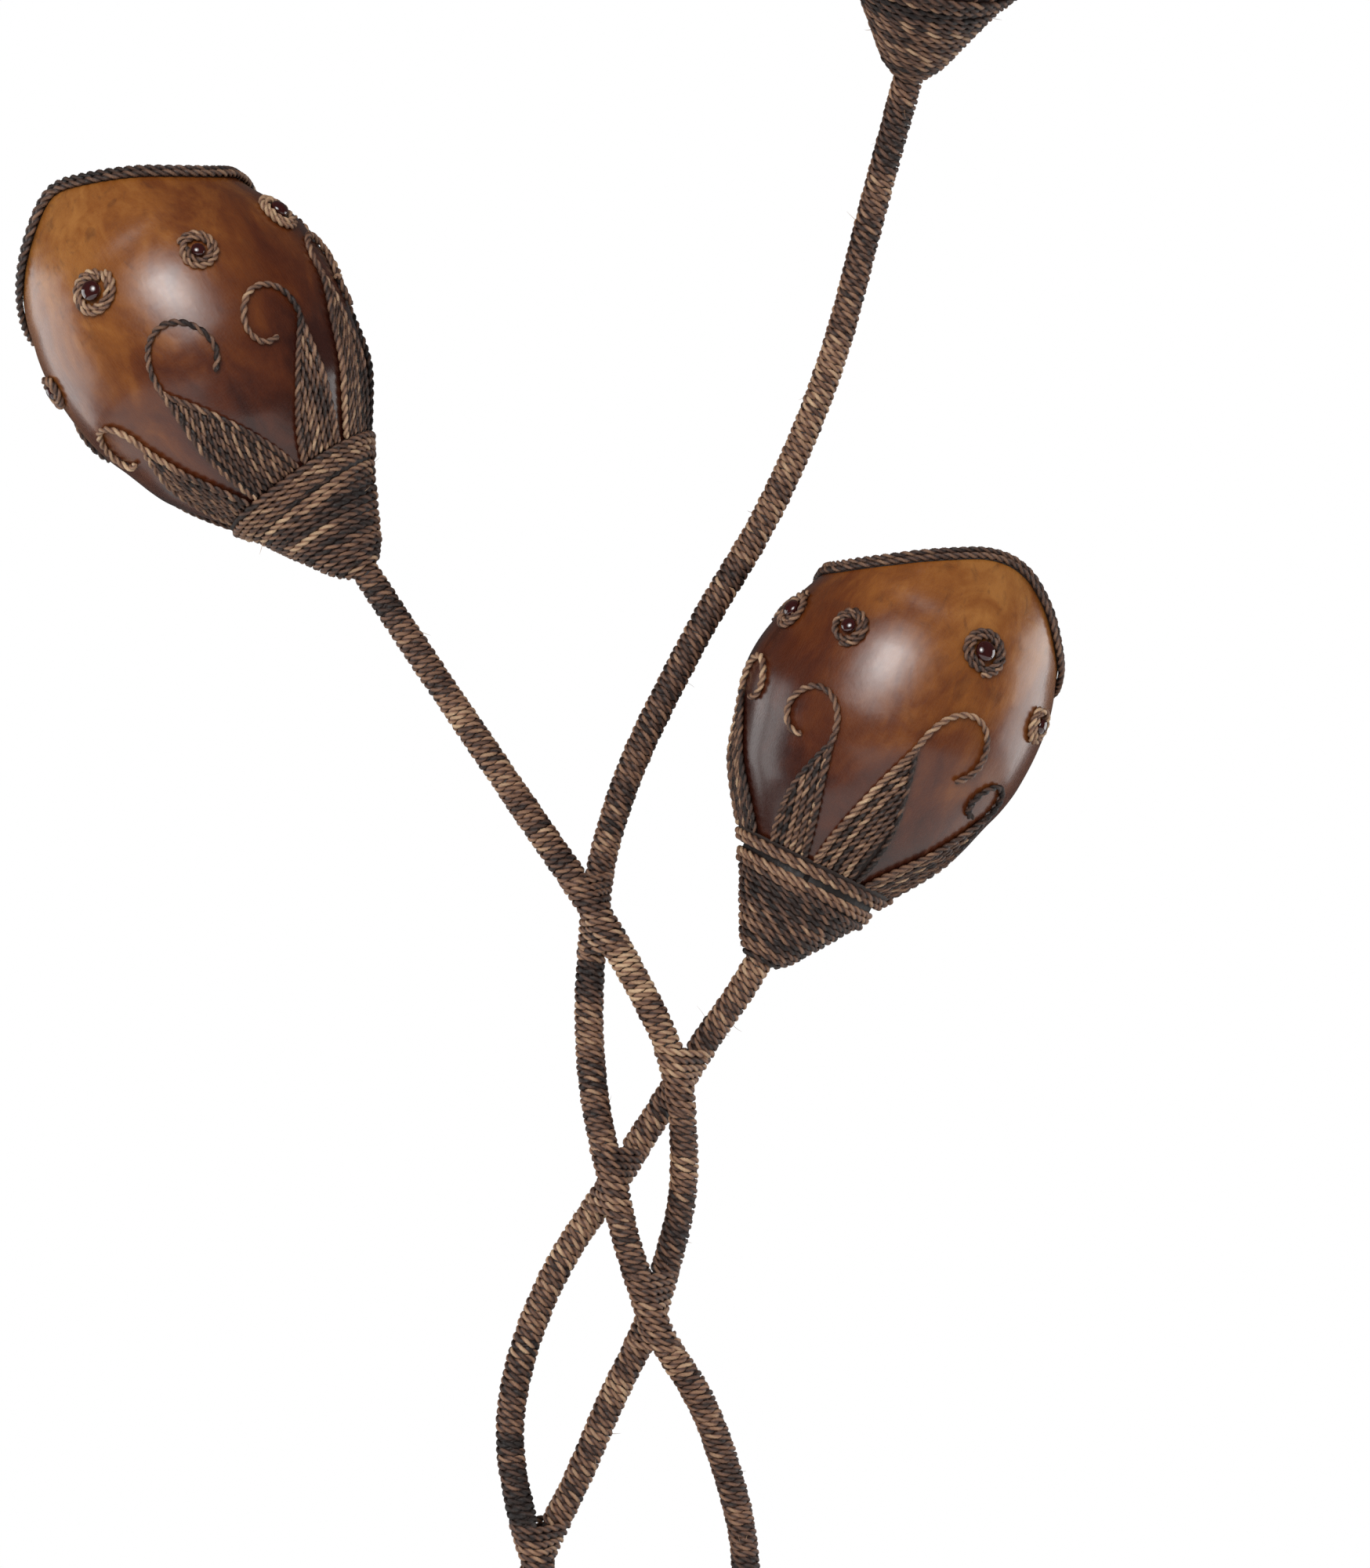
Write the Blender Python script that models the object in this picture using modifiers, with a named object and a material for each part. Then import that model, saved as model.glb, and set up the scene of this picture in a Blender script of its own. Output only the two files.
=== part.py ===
# Three-headed gourd floor lamp.
# Three bent tube stems, wound with twisted plant-fibre cord, are braided round each other and stand
# on a round weighted base. Each ends in a cord-wound cup with a lampholder and an open gourd shade.
# Frame: origin at the centre of the base's underside, +Z up, front of the lamp towards -Y, +X right.
# All driving dimensions are millimetres, turned into metres where the meshes are made.

import math

import bmesh
import bpy
import numpy as np
from mathutils import Matrix, Vector

MM = 0.001

# ---------------------------------------------------------------- driving dimensions

# Stem routes, head end first: centre line of each tube, (x, y, z).
LEFT_ROUTE = [
    (-169.6, 0, 1032), (-134.5, 0, 979), (-95, -4, 921), (-55, -9, 863), (-25, -9.6, 819), (-1, -9.6, 777),
    (18, -9.6, 735), (25, -6, 687), (24, 0, 648), (14, 8, 605), (3, 9.6, 570), (-16, 9, 531),
    (-41, 8, 474), (-63, 9.6, 428), (-76, 6, 378), (-76, 0, 331), (-61, -6, 270), (-32, -9.6, 205),
    (-10, -4, 155), (11, 8, 104), (25, 14, 74), (35.5, 18, 46), (36, 18, 20),
]
TOP_ROUTE = [
    (158.2, -74, 1321), (151.4, -57, 1295), (142.2, -39, 1261), (132, -24, 1221), (121, -13, 1179),
    (107, -5, 1137), (89, 0, 1094), (67, 3, 1051), (41, 5, 1008), (18, 7, 965), (-3, 9, 922),
    (-19, 9.6, 878), (-27, 9.6, 845), (-30, 9.6, 816), (-33, 8, 772), (-32, 4, 734), (-27, -6, 697),
    (-19, -9.6, 663), (-11, -9.6, 628), (-1, -9.6, 597), (10, -9.6, 568), (31, -6, 534), (50, 0, 487),
    (62, 4, 436), (62, 2, 393), (53, -4, 351), (35, -9, 312), (17, -9.6, 281), (-6, -3, 238),
    (-27, 9, 196), (-40, 12, 157), (-45, 14, 114), (-43, 16, 76), (-37.5, 18, 46), (-37, 18, 20),
]
RIGHT_ROUTE = [
    (70.1, 0, 792.5), (63.6, 0.3, 781.3), (51.5, 2, 763.2), (41.3, 4.5, 748.8), (25, 9, 723), (12, 9.6, 704), (-3, 9.6, 681),
    (-19, 9.6, 656), (-44, 4, 620), (-60, 0, 590), (-75, -4, 548), (-81, -7, 505), (-78, -9, 477),
    (-68, -9.6, 438), (-55, -9, 405), (-38, -4, 368), (-17, 4, 328), (5, 9, 293), (22, 9.6, 266),
    (37, 7, 233), (47, 0, 199), (48, -7, 165), (40, -11, 131), (28, -14, 103), (16, -18, 75),
    (5.5, -22, 46), (5, -22, 20),
]
STEM_SEGMENTS = {"left": 24, "top": 31, "right": 20}
TUBE_R, TUBE_WALL = 6.0, 1.5  # 12 mm steel tube
WRAP_R, WRAP_WALL = 8.9, 2.0  # outside of the cord on a stem
FLEX_R = 2.4

# Lashings: (stem, stem, height of the crossing), each wound round two stems.
CROSSINGS = [
    ("left", "top", 823.0),
    ("left", "right", 727.0),
    ("top", "right", 662.0),
    ("left", "top", 581.0),
    ("left", "right", 436.0),
    ("top", "right", 276.0),
    ("left", "top", 191.0),
    ("left", "right", 82.0),
]
LASH_HALF = 23.0
LASH_CLEAR = 1.4
LASH_WALL = 2.4

# Heads: cup tip (x, y, z); direction of the head's axis in the front view, degrees from +X; lean
# towards the front, degrees; hand of the shade's wavy rim and leaves (+1 or -1). The right shade's ring
# is slack, so that shade sits tipped on its holder: tip in degrees, rise of shade and ring in mm.
HEADS = {
    "left": {"tip": (-169.6, 0.0, 1032.0), "turn": 125.4, "lean": 0.0, "hand": 1, "slack": (0.0, 0.0, 0.0)},
    "right": {"tip": (70.1, 0.0, 792.5), "turn": 59.6, "lean": 0.0, "hand": -1, "slack": (4.2, 2.6, 4.8)},
    "top": {"tip": (158.2, -74.0, 1321.0), "turn": 78.0, "lean": 31.0, "hand": -1, "slack": (0.0, 0.0, 0.0)},
}

# Shade: outside of the gourd, (height above the cup's tip along the head's axis, radius).
SHELL_WALL = 3.5
SHELL_HOLE_R = 21.3
SHELL_PROFILE = [
    (56.0, 39.5), (62.0, 44.4), (67.2, 48.0), (76.8, 55.2), (86.4, 62.4), (96.0, 69.1), (105.6, 74.9),
    (115.2, 78.7), (124.8, 81.6), (134.4, 84.5), (144.0, 87.8), (153.6, 90.2), (163.2, 91.7),
    (182.4, 92.6), (201.6, 91.7), (211.2, 90.2), (220.8, 87.8), (230.4, 84.5), (240.0, 81.6),
    (249.6, 77.3), (259.2, 72.0), (268.8, 65.8), (278.4, 58.1), (288.0, 49.0), (297.6, 38.4),
    (307.2, 24.0),
]
SHELL_FLOOR_H = 52.4
# Two of the gourds grew flatter on one side of their mouth: where, and by how much at most.
FLAT_DEPTH = {"left": 5.5, "right": 12.5, "top": 0.0}
FLAT_FOOT = {"left": 196.0, "right": 158.0, "top": 196.0}
FLAT_TOP = {"left": 238.0, "right": 238.0, "top": 238.0}
FLAT_DEG, FLAT_SPREAD = 92.0, 36.0
# Rim: height of the opening's edge by angle round the axis; 0 is the front, where the lip is tall.
# Each gourd was cut by hand, so no two rims are alike.
RIM_LINES = {
    "left": [
        (-180, 225.0), (-150, 226.0), (-125, 229.5), (-105, 236.5), (-90, 246.5), (-75, 259.5), (-60, 273.0),
        (-50, 281.5), (-40, 289.0), (-27, 293.0), (-12, 291.5), (2, 285.5), (15, 278.0), (29, 268.0),
        (41, 257.5), (52, 250.0), (62, 246.5), (78, 245.0), (98, 242.0), (116, 236.0), (136, 229.5),
    ],
    "right": [
        (-180, 223.0), (-150, 223.5), (-125, 225.5), (-105, 229.5), (-92, 234.5), (-83, 240.5), (-72, 252.0),
        (-62, 266.5), (-47, 279.5), (-33, 284.0), (-19, 284.0), (-4, 280.0), (11, 271.0), (23, 262.0),
        (34, 252.5), (46, 243.5), (58, 237.5), (72, 235.0), (90, 234.5), (108, 231.0), (128, 226.0),
    ],
    "top": [
        (-180, 224.0), (-150, 225.0), (-125, 228.0), (-105, 234.0), (-90, 243.0), (-75, 256.0), (-60, 270.0),
        (-50, 278.0), (-40, 284.5), (-27, 287.5), (-12, 286.0), (2, 281.0), (15, 274.0), (29, 263.0),
        (41, 252.0), (52, 243.5), (62, 237.0), (78, 231.5), (100, 228.0), (130, 225.5),
    ],
}
SHELL_COLUMNS = [-180, -156, -132, -112, -96, -82, -70, -58, -45, -31, -15, 1, 16, 31, 45, 60, 78, 98, 122, 150]
SHELL_ROWS = 9
RIM_CORD_WIDTH, RIM_CORD_DEPTH, RIM_CORD_GAP = 9.4, 4.4, 1.0

# Leaf crown: eight pointed blades of cord round the shade's foot.
LEAVES = 8
LEAF_FOOT_H, LEAF_VALLEY_H = 73.0, 79.0
LEAF_TIPS_H = (161.0, 151.0)
LEAF_TURN = 5.6  # angle of the first blade, degrees
LEAF_GAP, LEAF_THICK = 2.7, 2.8

# Collar: two turns of cord round the shade's foot, (height, radius) corners of its section.
COLLAR = [(59.6, 44.6), (68.8, 51.0), (67.0, 54.6), (58.2, 48.2)]

# Cup: spun sheet cone, outside profile from its mouth down to the tube's hole.
CUP_PROFILE = [(56.0, 42.4), (10.5, 15.6), (4.0, 9.5), (3.6, 6.7)]
CUP_WALL = 1.2
CUP_WRAP_OUT = [(56.6, 46.6), (28.8, 30.6), (9.6, 19.4), (2.5, 12.6), (0.0, 9.2)]
CUP_WRAP_IN = [(0.0, 6.9), (2.6, 7.4), (3.2, 10.2), (9.9, 16.3), (56.6, 43.6)]

# Lampholder (E27), ring that holds the shade, and bulb, all turned about the head's axis.
HOLDER = [
    (65.6, 19.7), (52.0, 19.7), (52.0, 23.0), (49.6, 23.0), (49.6, 18.0), (22.0, 16.0), (14.5, 12.0),
    (8.4, 9.6), (8.4, 6.5), (16.5, 6.5), (16.5, 3.2), (24.0, 3.2), (24.0, 14.4), (65.6, 14.4),
]
RING = [(62.4, 26.0), (58.0, 26.0), (58.0, 21.0), (62.4, 21.0)]
BULB_CAP = [(57.0, 13.4), (32.0, 13.4), (29.0, 9.0), (26.5, 5.0), (26.5, 0.0)]
GLASS_OUT = [(150.0, 3.0), (130.0, 12.0), (101.0, 17.5), (74.0, 14.4), (57.4, 12.6)]
GLASS_WALL = 1.0
GLASS_TOP_H = 153.0

# Base, about the lamp's vertical axis.
FELT = (0.0, 1.8, 147.0)  # low, high, radius
PLATE = (2.1, 3.6, 148.0)
WEIGHT = (4.0, 19.0, 135.0, 62.0)  # low, high, outer and inner radius
COVER_OUT = [(34.0, 0.0), (34.0, 78.0), (24.5, 138.0), (21.5, 146.0), (15.0, 149.8), (4.0, 150.0)]
COVER_IN = [(4.0, 148.4), (14.6, 148.2), (20.3, 144.8), (22.9, 137.4), (32.2, 77.6), (32.2, 0.0)]
CORD_COVER_OUT = [(38.4, 0.0), (38.4, 78.6), (28.8, 139.5), (25.2, 149.0), (17.0, 154.0), (2.6, 154.2)]
CORD_COVER_IN = [(2.6, 150.4), (15.1, 150.4), (21.8, 146.4), (24.9, 138.3), (34.4, 78.2), (34.4, 0.0)]
TUBE_HOLE_R = 7.0
NUT_LOW, NUT_HIGH, NUT_AF = 25.0, 31.6, 19.0
TERMINALS = (30.0, 16.0, 10.0)
TERMINALS_AT = (0.0, 12.0)
LEAD_HOLE_R, LEAD_Z = 6.6, 10.6
GROMMET = [(156.6, 8.8), (154.8, 8.8), (154.8, 5.9), (144.6, 5.9), (144.6, 6.8), (142.6, 6.8), (142.6, 3.6), (156.6, 3.6)]

# ---------------------------------------------------------------- start from an empty scene

for old in list(bpy.data.objects):
    bpy.data.objects.remove(old, do_unlink=True)

lamp = bpy.data.collections.new("gourd_floor_lamp")
tools = bpy.data.collections.new("cutters")
bpy.context.scene.collection.children.link(lamp)
bpy.context.scene.collection.children.link(tools)


def material(name, colour, roughness, metallic=0.0):
    made = bpy.data.materials.new(name)
    made.use_nodes = True
    shader = made.node_tree.nodes["Principled BSDF"]
    shader.inputs["Base Color"].default_value = (*colour, 1.0)
    shader.inputs["Roughness"].default_value = roughness
    shader.inputs["Metallic"].default_value = metallic
    made.diffuse_color = (*colour, 1.0)
    return made


LACQUER = material("lacquered_gourd", (0.30, 0.10, 0.03), 0.12)
CORD = material("twisted_cord", (0.16, 0.09, 0.05), 0.85)
CORD_DARK = material("twisted_cord_dark", (0.10, 0.06, 0.04), 0.85)
STEEL = material("steel_tube", (0.35, 0.35, 0.36), 0.40, 1.0)
CUP_TIN = material("spun_cup", (0.25, 0.22, 0.20), 0.45, 1.0)
BRASS = material("brass_thread", (0.65, 0.48, 0.22), 0.35, 1.0)
PHENOLIC = material("black_holder", (0.03, 0.03, 0.03), 0.35)
RING_PLASTIC = material("black_ring", (0.04, 0.04, 0.04), 0.40)
FROSTED = material("frosted_glass", (0.95, 0.94, 0.90), 0.30)
NICKEL = material("bulb_cap", (0.70, 0.70, 0.68), 0.30, 1.0)
FLEX = material("flex_sheath", (0.80, 0.78, 0.72), 0.45)
IRON = material("base_weight", (0.15, 0.15, 0.16), 0.60, 1.0)
PRESSED = material("pressed_cover", (0.20, 0.19, 0.18), 0.50, 1.0)
FELT_GREEN = material("felt", (0.05, 0.07, 0.05), 0.95)
RUBBER = material("grommet_rubber", (0.03, 0.03, 0.03), 0.60)
CREAM = material("terminal_block", (0.80, 0.78, 0.70), 0.50)


# ---------------------------------------------------------------- geometry helpers

def finish(obj, mat, parent=None, smooth=True):
    obj.data.materials.append(mat)
    for block in list(obj.users_collection):
        block.objects.unlink(obj)
    lamp.objects.link(obj)
    if parent is not None:
        obj.parent = parent
    if smooth and obj.type == "MESH":
        obj.data.shade_smooth()
        obj.data.set_sharp_from_angle(angle=math.radians(40))
    return obj


def mesh_object(name, bm, mat, parent=None):
    data = bpy.data.meshes.new(name)
    bm.to_mesh(data)
    bm.free()
    obj = bpy.data.objects.new(name, data)
    lamp.objects.link(obj)
    return finish(obj, mat, parent)


def turned(name, profile, segments, mat, parent=None, closed=True):
    """A section of (height, radius) points in mm, turned about Z. It runs down the outside, top to bottom."""
    bm = bmesh.new()
    points = [bm.verts.new((r * MM, 0.0, h * MM)) for h, r in profile]
    for a, b in zip(points, points[1:]):
        bm.edges.new((a, b))
    if closed:
        bm.edges.new((points[-1], points[0]))
    obj = mesh_object(name, bm, mat, parent)
    screw = obj.modifiers.new("turn", "SCREW")
    screw.axis = "Z"
    screw.steps = segments
    screw.render_steps = segments
    screw.use_merge_vertices = True
    screw.merge_threshold = 0.00001
    screw.use_smooth_shade = True
    return obj


def spline_through(points, count):
    """A smooth curve through the points (natural cubic over chord length), at count + 1 even steps."""
    p = np.array(points, float)
    t = np.concatenate([[0.0], np.cumsum(np.linalg.norm(np.diff(p, axis=0), axis=1))])
    n = len(p)
    h = np.diff(t)
    a = np.zeros((n, n))
    rhs = np.zeros((n, 3))
    a[0, 0] = a[-1, -1] = 1.0
    for i in range(1, n - 1):
        a[i, i - 1], a[i, i], a[i, i + 1] = h[i - 1], 2 * (h[i - 1] + h[i]), h[i]
        rhs[i] = 6 * ((p[i + 1] - p[i]) / h[i] - (p[i] - p[i - 1]) / h[i - 1])
    m = np.linalg.solve(a, rhs)

    def at(s):
        i = min(max(int(np.searchsorted(t, s, side="right")) - 1, 0), n - 2)
        u, v, w = t[i + 1] - s, s - t[i], h[i]
        return (m[i] * u**3 + m[i + 1] * v**3) / (6 * w) + (p[i] / w - m[i] * w / 6) * u + (p[i + 1] / w - m[i + 1] * w / 6) * v

    fine = np.array([at(s) for s in np.linspace(0.0, t[-1], 1200)])
    run = np.concatenate([[0.0], np.cumsum(np.linalg.norm(np.diff(fine, axis=0), axis=1))])
    want = np.linspace(0.0, run[-1], count + 1)
    return np.stack([np.interp(want, run, fine[:, k]) for k in range(3)], axis=1)


def poly_curve(name, points, radius, resolution, caps):
    data = bpy.data.curves.new(name, "CURVE")
    data.dimensions = "3D"
    data.bevel_depth = radius * MM
    data.bevel_resolution = resolution
    data.use_fill_caps = caps
    spline = data.splines.new("POLY")
    spline.points.add(len(points) - 1)
    for slot, point in zip(spline.points, points):
        slot.co = (point[0] * MM, point[1] * MM, point[2] * MM, 1.0)
    obj = bpy.data.objects.new(name, data)
    lamp.objects.link(obj)
    return obj


def hollow_tube(name, points, radius, wall, mat, resolution=2):
    """An open swept tube given its wall with Solidify, inwards."""
    guide = poly_curve(name + "_guide", points, radius, resolution, False)
    bpy.context.view_layer.update()
    shape = guide.evaluated_get(bpy.context.evaluated_depsgraph_get())
    data = bpy.data.meshes.new_from_object(shape)
    data.materials.clear()
    curve = guide.data
    bpy.data.objects.remove(guide, do_unlink=True)
    bpy.data.curves.remove(curve)
    data.name = name
    bm = bmesh.new()
    bm.from_mesh(data)
    bmesh.ops.remove_doubles(bm, verts=bm.verts, dist=1e-6)
    bm.normal_update()
    face = bm.faces[:][0]
    middle = face.calc_center_median()
    nearest = min(points, key=lambda p: (Vector(p) * MM - middle).length)
    if face.normal.dot(middle - Vector(nearest) * MM) < 0:
        bmesh.ops.reverse_faces(bm, faces=bm.faces)
    bm.to_mesh(data)
    bm.free()
    obj = bpy.data.objects.new(name, data)
    lamp.objects.link(obj)
    finish(obj, mat)
    solid = obj.modifiers.new("wall", "SOLIDIFY")
    solid.thickness = wall * MM
    solid.offset = -1.0
    solid.use_even_offset = True
    return obj


def ring_loft(name, outers, inners, mat):
    """A sleeve between unlike sections: one outer and one inner loop at each station."""
    bm = bmesh.new()
    out = [[bm.verts.new(Vector(p) * MM) for p in loop] for loop in outers]
    inn = [[bm.verts.new(Vector(p) * MM) for p in loop] for loop in inners]
    n = len(out[0])
    for k in range(len(out) - 1):
        for i in range(n):
            j = (i + 1) % n
            bm.faces.new((out[k][i], out[k][j], out[k + 1][j], out[k + 1][i]))
            bm.faces.new((inn[k][j], inn[k][i], inn[k + 1][i], inn[k + 1][j]))
    for k in (0, len(out) - 1):
        for i in range(n):
            j = (i + 1) % n
            bm.faces.new((out[k][i], out[k][j], inn[k][j], inn[k][i]))
    bmesh.ops.recalc_face_normals(bm, faces=bm.faces)
    return mesh_object(name, bm, mat)


def cut(obj, cutter):
    cutter.hide_render = True
    cutter.display_type = "WIRE"
    for block in list(cutter.users_collection):
        block.objects.unlink(cutter)
    tools.objects.link(cutter)
    knife = obj.modifiers.new("cut", "BOOLEAN")
    knife.operation = "DIFFERENCE"
    knife.solver = "EXACT"
    knife.object = cutter


def peg(name, radius, depth, location, rotation=(0.0, 0.0, 0.0), sides=12):
    bpy.ops.mesh.primitive_cylinder_add(
        vertices=sides, radius=radius * MM, depth=depth * MM,
        location=[c * MM for c in location], rotation=rotation,
    )
    obj = bpy.context.active_object
    obj.name = name
    return obj


# ---------------------------------------------------------------- heads: shape functions

def smooth_table(table, x, period=None):
    """Catmull-Rom through (x, y) pairs, which are sorted on x."""
    if period:
        table = [(table[-2][0] - period, table[-2][1]), (table[-1][0] - period, table[-1][1])] + list(table) + [
            (table[0][0] + period, table[0][1]), (table[1][0] + period, table[1][1]),
        ]
        while x < table[1][0]:
            x += period
        while x >= table[-2][0]:
            x -= period
    xs = [p[0] for p in table]
    if x <= xs[0]:
        return table[0][1]
    if x >= xs[-1]:
        return table[-1][1]
    i = max(j for j in range(len(xs) - 1) if xs[j] <= x)
    (x1, y1), (x2, y2) = table[i], table[i + 1]
    x0, y0 = table[i - 1] if i > 0 else (2 * x1 - x2, 2 * y1 - y2)
    x3, y3 = table[i + 2] if i + 2 < len(table) else (2 * x2 - x1, 2 * y2 - y1)
    m1 = (y2 - y0) / (x2 - x0) * (x2 - x1)
    m2 = (y3 - y1) / (x3 - x1) * (x2 - x1)
    u = (x - x1) / (x2 - x1)
    return (2 * u**3 - 3 * u**2 + 1) * y1 + (u**3 - 2 * u**2 + u) * m1 + (3 * u**2 - 2 * u**3) * y2 + (u**3 - u**2) * m2


def shell_radius(h):
    return smooth_table(SHELL_PROFILE, h)


def rim_height(deg, rim):
    return smooth_table(RIM_LINES[rim], deg, 360.0)


def shell_flat(deg, h, rim):
    """How far the flatter side of this gourd lies inside the round profile."""
    away = ((deg - FLAT_DEG + 180.0) % 360.0 - 180.0) / FLAT_SPREAD
    t = min(max((h - FLAT_FOOT[rim]) / (FLAT_TOP[rim] - FLAT_FOOT[rim]), 0.0), 1.0)
    return FLAT_DEPTH[rim] * math.exp(-away * away) * t * t * (3.0 - 2.0 * t)


def shell_point(deg, h, out, hand, rim):
    """Local point on the gourd's outside at an angle and height, moved out along its normal."""
    slope = (shell_radius(h + 0.5) - shell_radius(h - 0.5)) if h < 306.0 else -1.5
    length = math.hypot(1.0, slope)
    r = shell_radius(h) - shell_flat(deg, h, rim) + out / length
    z = h - out * slope / length
    a = math.radians(deg)
    return Vector((r * math.cos(a), hand * r * math.sin(a), z))


def head_frame(spec):
    """Right-handed frame: local X to the front of the head, local Z along its axis."""
    turn, lean = math.radians(spec["turn"]), math.radians(spec["lean"])
    axis = Vector((math.cos(lean) * math.cos(turn), -math.sin(lean), math.cos(lean) * math.sin(turn)))
    front = Vector((0.0, -1.0, 0.0))
    front = (front - axis * front.dot(axis)).normalized()
    side = axis.cross(front)
    m = Matrix((front, side, axis)).transposed().to_4x4()
    m.translation = Vector(spec["tip"]) * MM
    return m


def make_shell(name, hand, parent, rim):
    rows = SHELL_ROWS
    columns = len(SHELL_COLUMNS)
    bm = bmesh.new()
    bmesh.ops.create_grid(bm, x_segments=columns, y_segments=rows + 1, size=1.0)
    for vert in bm.verts:
        i = round((vert.co.x + 1.0) / 2.0 * columns)
        j = round((vert.co.y + 1.0) / 2.0 * (rows + 1))
        deg = SHELL_COLUMNS[i % columns]
        if j == 0:
            a = math.radians(deg)
            vert.co = Vector((SHELL_HOLE_R * math.cos(a), hand * SHELL_HOLE_R * math.sin(a), SHELL_FLOOR_H)) * MM
            continue
        # rows crowd towards the foot and the rim, where the gourd bends most
        u = (j - 1) / rows
        top = rim_height(deg, rim)
        h = 56.0 + (top - 56.0) * (u - 0.03 * math.sin(2 * math.pi * u))
        vert.co = shell_point(deg, h, 0.0, hand, rim) * MM
    bmesh.ops.remove_doubles(bm, verts=bm.verts, dist=1e-6)
    bm.normal_update()
    probe = max(bm.faces, key=lambda f: f.calc_center_median().x)
    if probe.normal.x < 0:
        bmesh.ops.reverse_faces(bm, faces=bm.faces)
    obj = mesh_object(name, bm, LACQUER, parent)
    solid = obj.modifiers.new("wall", "SOLIDIFY")
    solid.thickness = SHELL_WALL * MM
    solid.offset = -1.0
    solid.use_even_offset = True
    solid.thickness_clamp = 0.0
    return obj


def make_rim_cord(name, hand, parent, rim, sides=6):
    """Flat band of two cords round the outside of the rim, a closed loop."""
    degs = [-180, -160, -140, -122, -106, -92, -81, -71, -61, -51, -40, -27, -13, 2, 15, 29, 41, 52, 63, 76, 90, 107, 126, 145, 163]
    bm = bmesh.new()
    loops = []
    for k, deg in enumerate(degs):
        d = 2.0
        before = shell_point(deg - d, rim_height(deg - d, rim), 0.0, hand, rim)
        after = shell_point(deg + d, rim_height(deg + d, rim), 0.0, hand, rim)
        along = (after - before).normalized()
        here = shell_point(deg, rim_height(deg, rim), 0.0, hand, rim)
        normal = (shell_point(deg, rim_height(deg, rim), 1.0, hand, rim) - here).normalized()
        normal = (normal - along * normal.dot(along)).normalized()
        down = along.cross(normal)
        if down.z > 0:
            down = -down
        centre = here + down * (RIM_CORD_WIDTH / 2) + normal * (RIM_CORD_GAP + RIM_CORD_DEPTH / 2)
        # the gourd bulges outwards below the rim, so the band is lifted clear of it
        ring = []
        for s in range(sides):
            t = 2 * math.pi * s / sides
            ring.append(bm.verts.new((centre + down * (math.cos(t) * RIM_CORD_WIDTH / 2) + normal * (math.sin(t) * RIM_CORD_DEPTH / 2)) * MM))
        loops.append(ring)
    n = len(loops)
    for k in range(n):
        a, b = loops[k], loops[(k + 1) % n]
        for s in range(sides):
            t = (s + 1) % sides
            bm.faces.new((a[s], a[t], b[t], b[s]))
    bmesh.ops.recalc_face_normals(bm, faces=bm.faces)
    return mesh_object(name, bm, CORD_DARK, parent)


def make_crown(name, hand, parent, rim):
    """Eight pointed blades that stand on one band, an open surface given its thickness outwards."""
    per, rows = 6, 3
    columns = LEAVES * per
    bm = bmesh.new()
    bmesh.ops.create_grid(bm, x_segments=columns, y_segments=rows, size=1.0)
    for vert in bm.verts:
        i = round((vert.co.x + 1.0) / 2.0 * columns) % columns
        j = round((vert.co.y + 1.0) / 2.0 * rows)
        leaf, k = divmod(i, per)
        tip = LEAF_TIPS_H[leaf % 2]
        # from valley to tip and back: the blade's long sides bow inwards
        reach = (0.0, 0.16, 0.50, 1.0, 0.50, 0.16)[k]
        top = LEAF_VALLEY_H + (tip - LEAF_VALLEY_H) * reach
        deg = LEAF_TURN + (i - per // 2) * 360.0 / columns
        h = LEAF_FOOT_H + (top - LEAF_FOOT_H) * j / rows
        vert.co = shell_point(deg, h, LEAF_GAP, hand, rim) * MM
    bmesh.ops.remove_doubles(bm, verts=bm.verts, dist=1e-6)
    bm.normal_update()
    probe = max(bm.faces, key=lambda f: f.calc_center_median().x)
    if probe.normal.x < 0:
        bmesh.ops.reverse_faces(bm, faces=bm.faces)
    obj = mesh_object(name, bm, CORD, parent)
    solid = obj.modifiers.new("thickness", "SOLIDIFY")
    solid.thickness = LEAF_THICK * MM
    solid.offset = 1.0
    solid.use_even_offset = False
    return obj


# ---------------------------------------------------------------- heads

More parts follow.
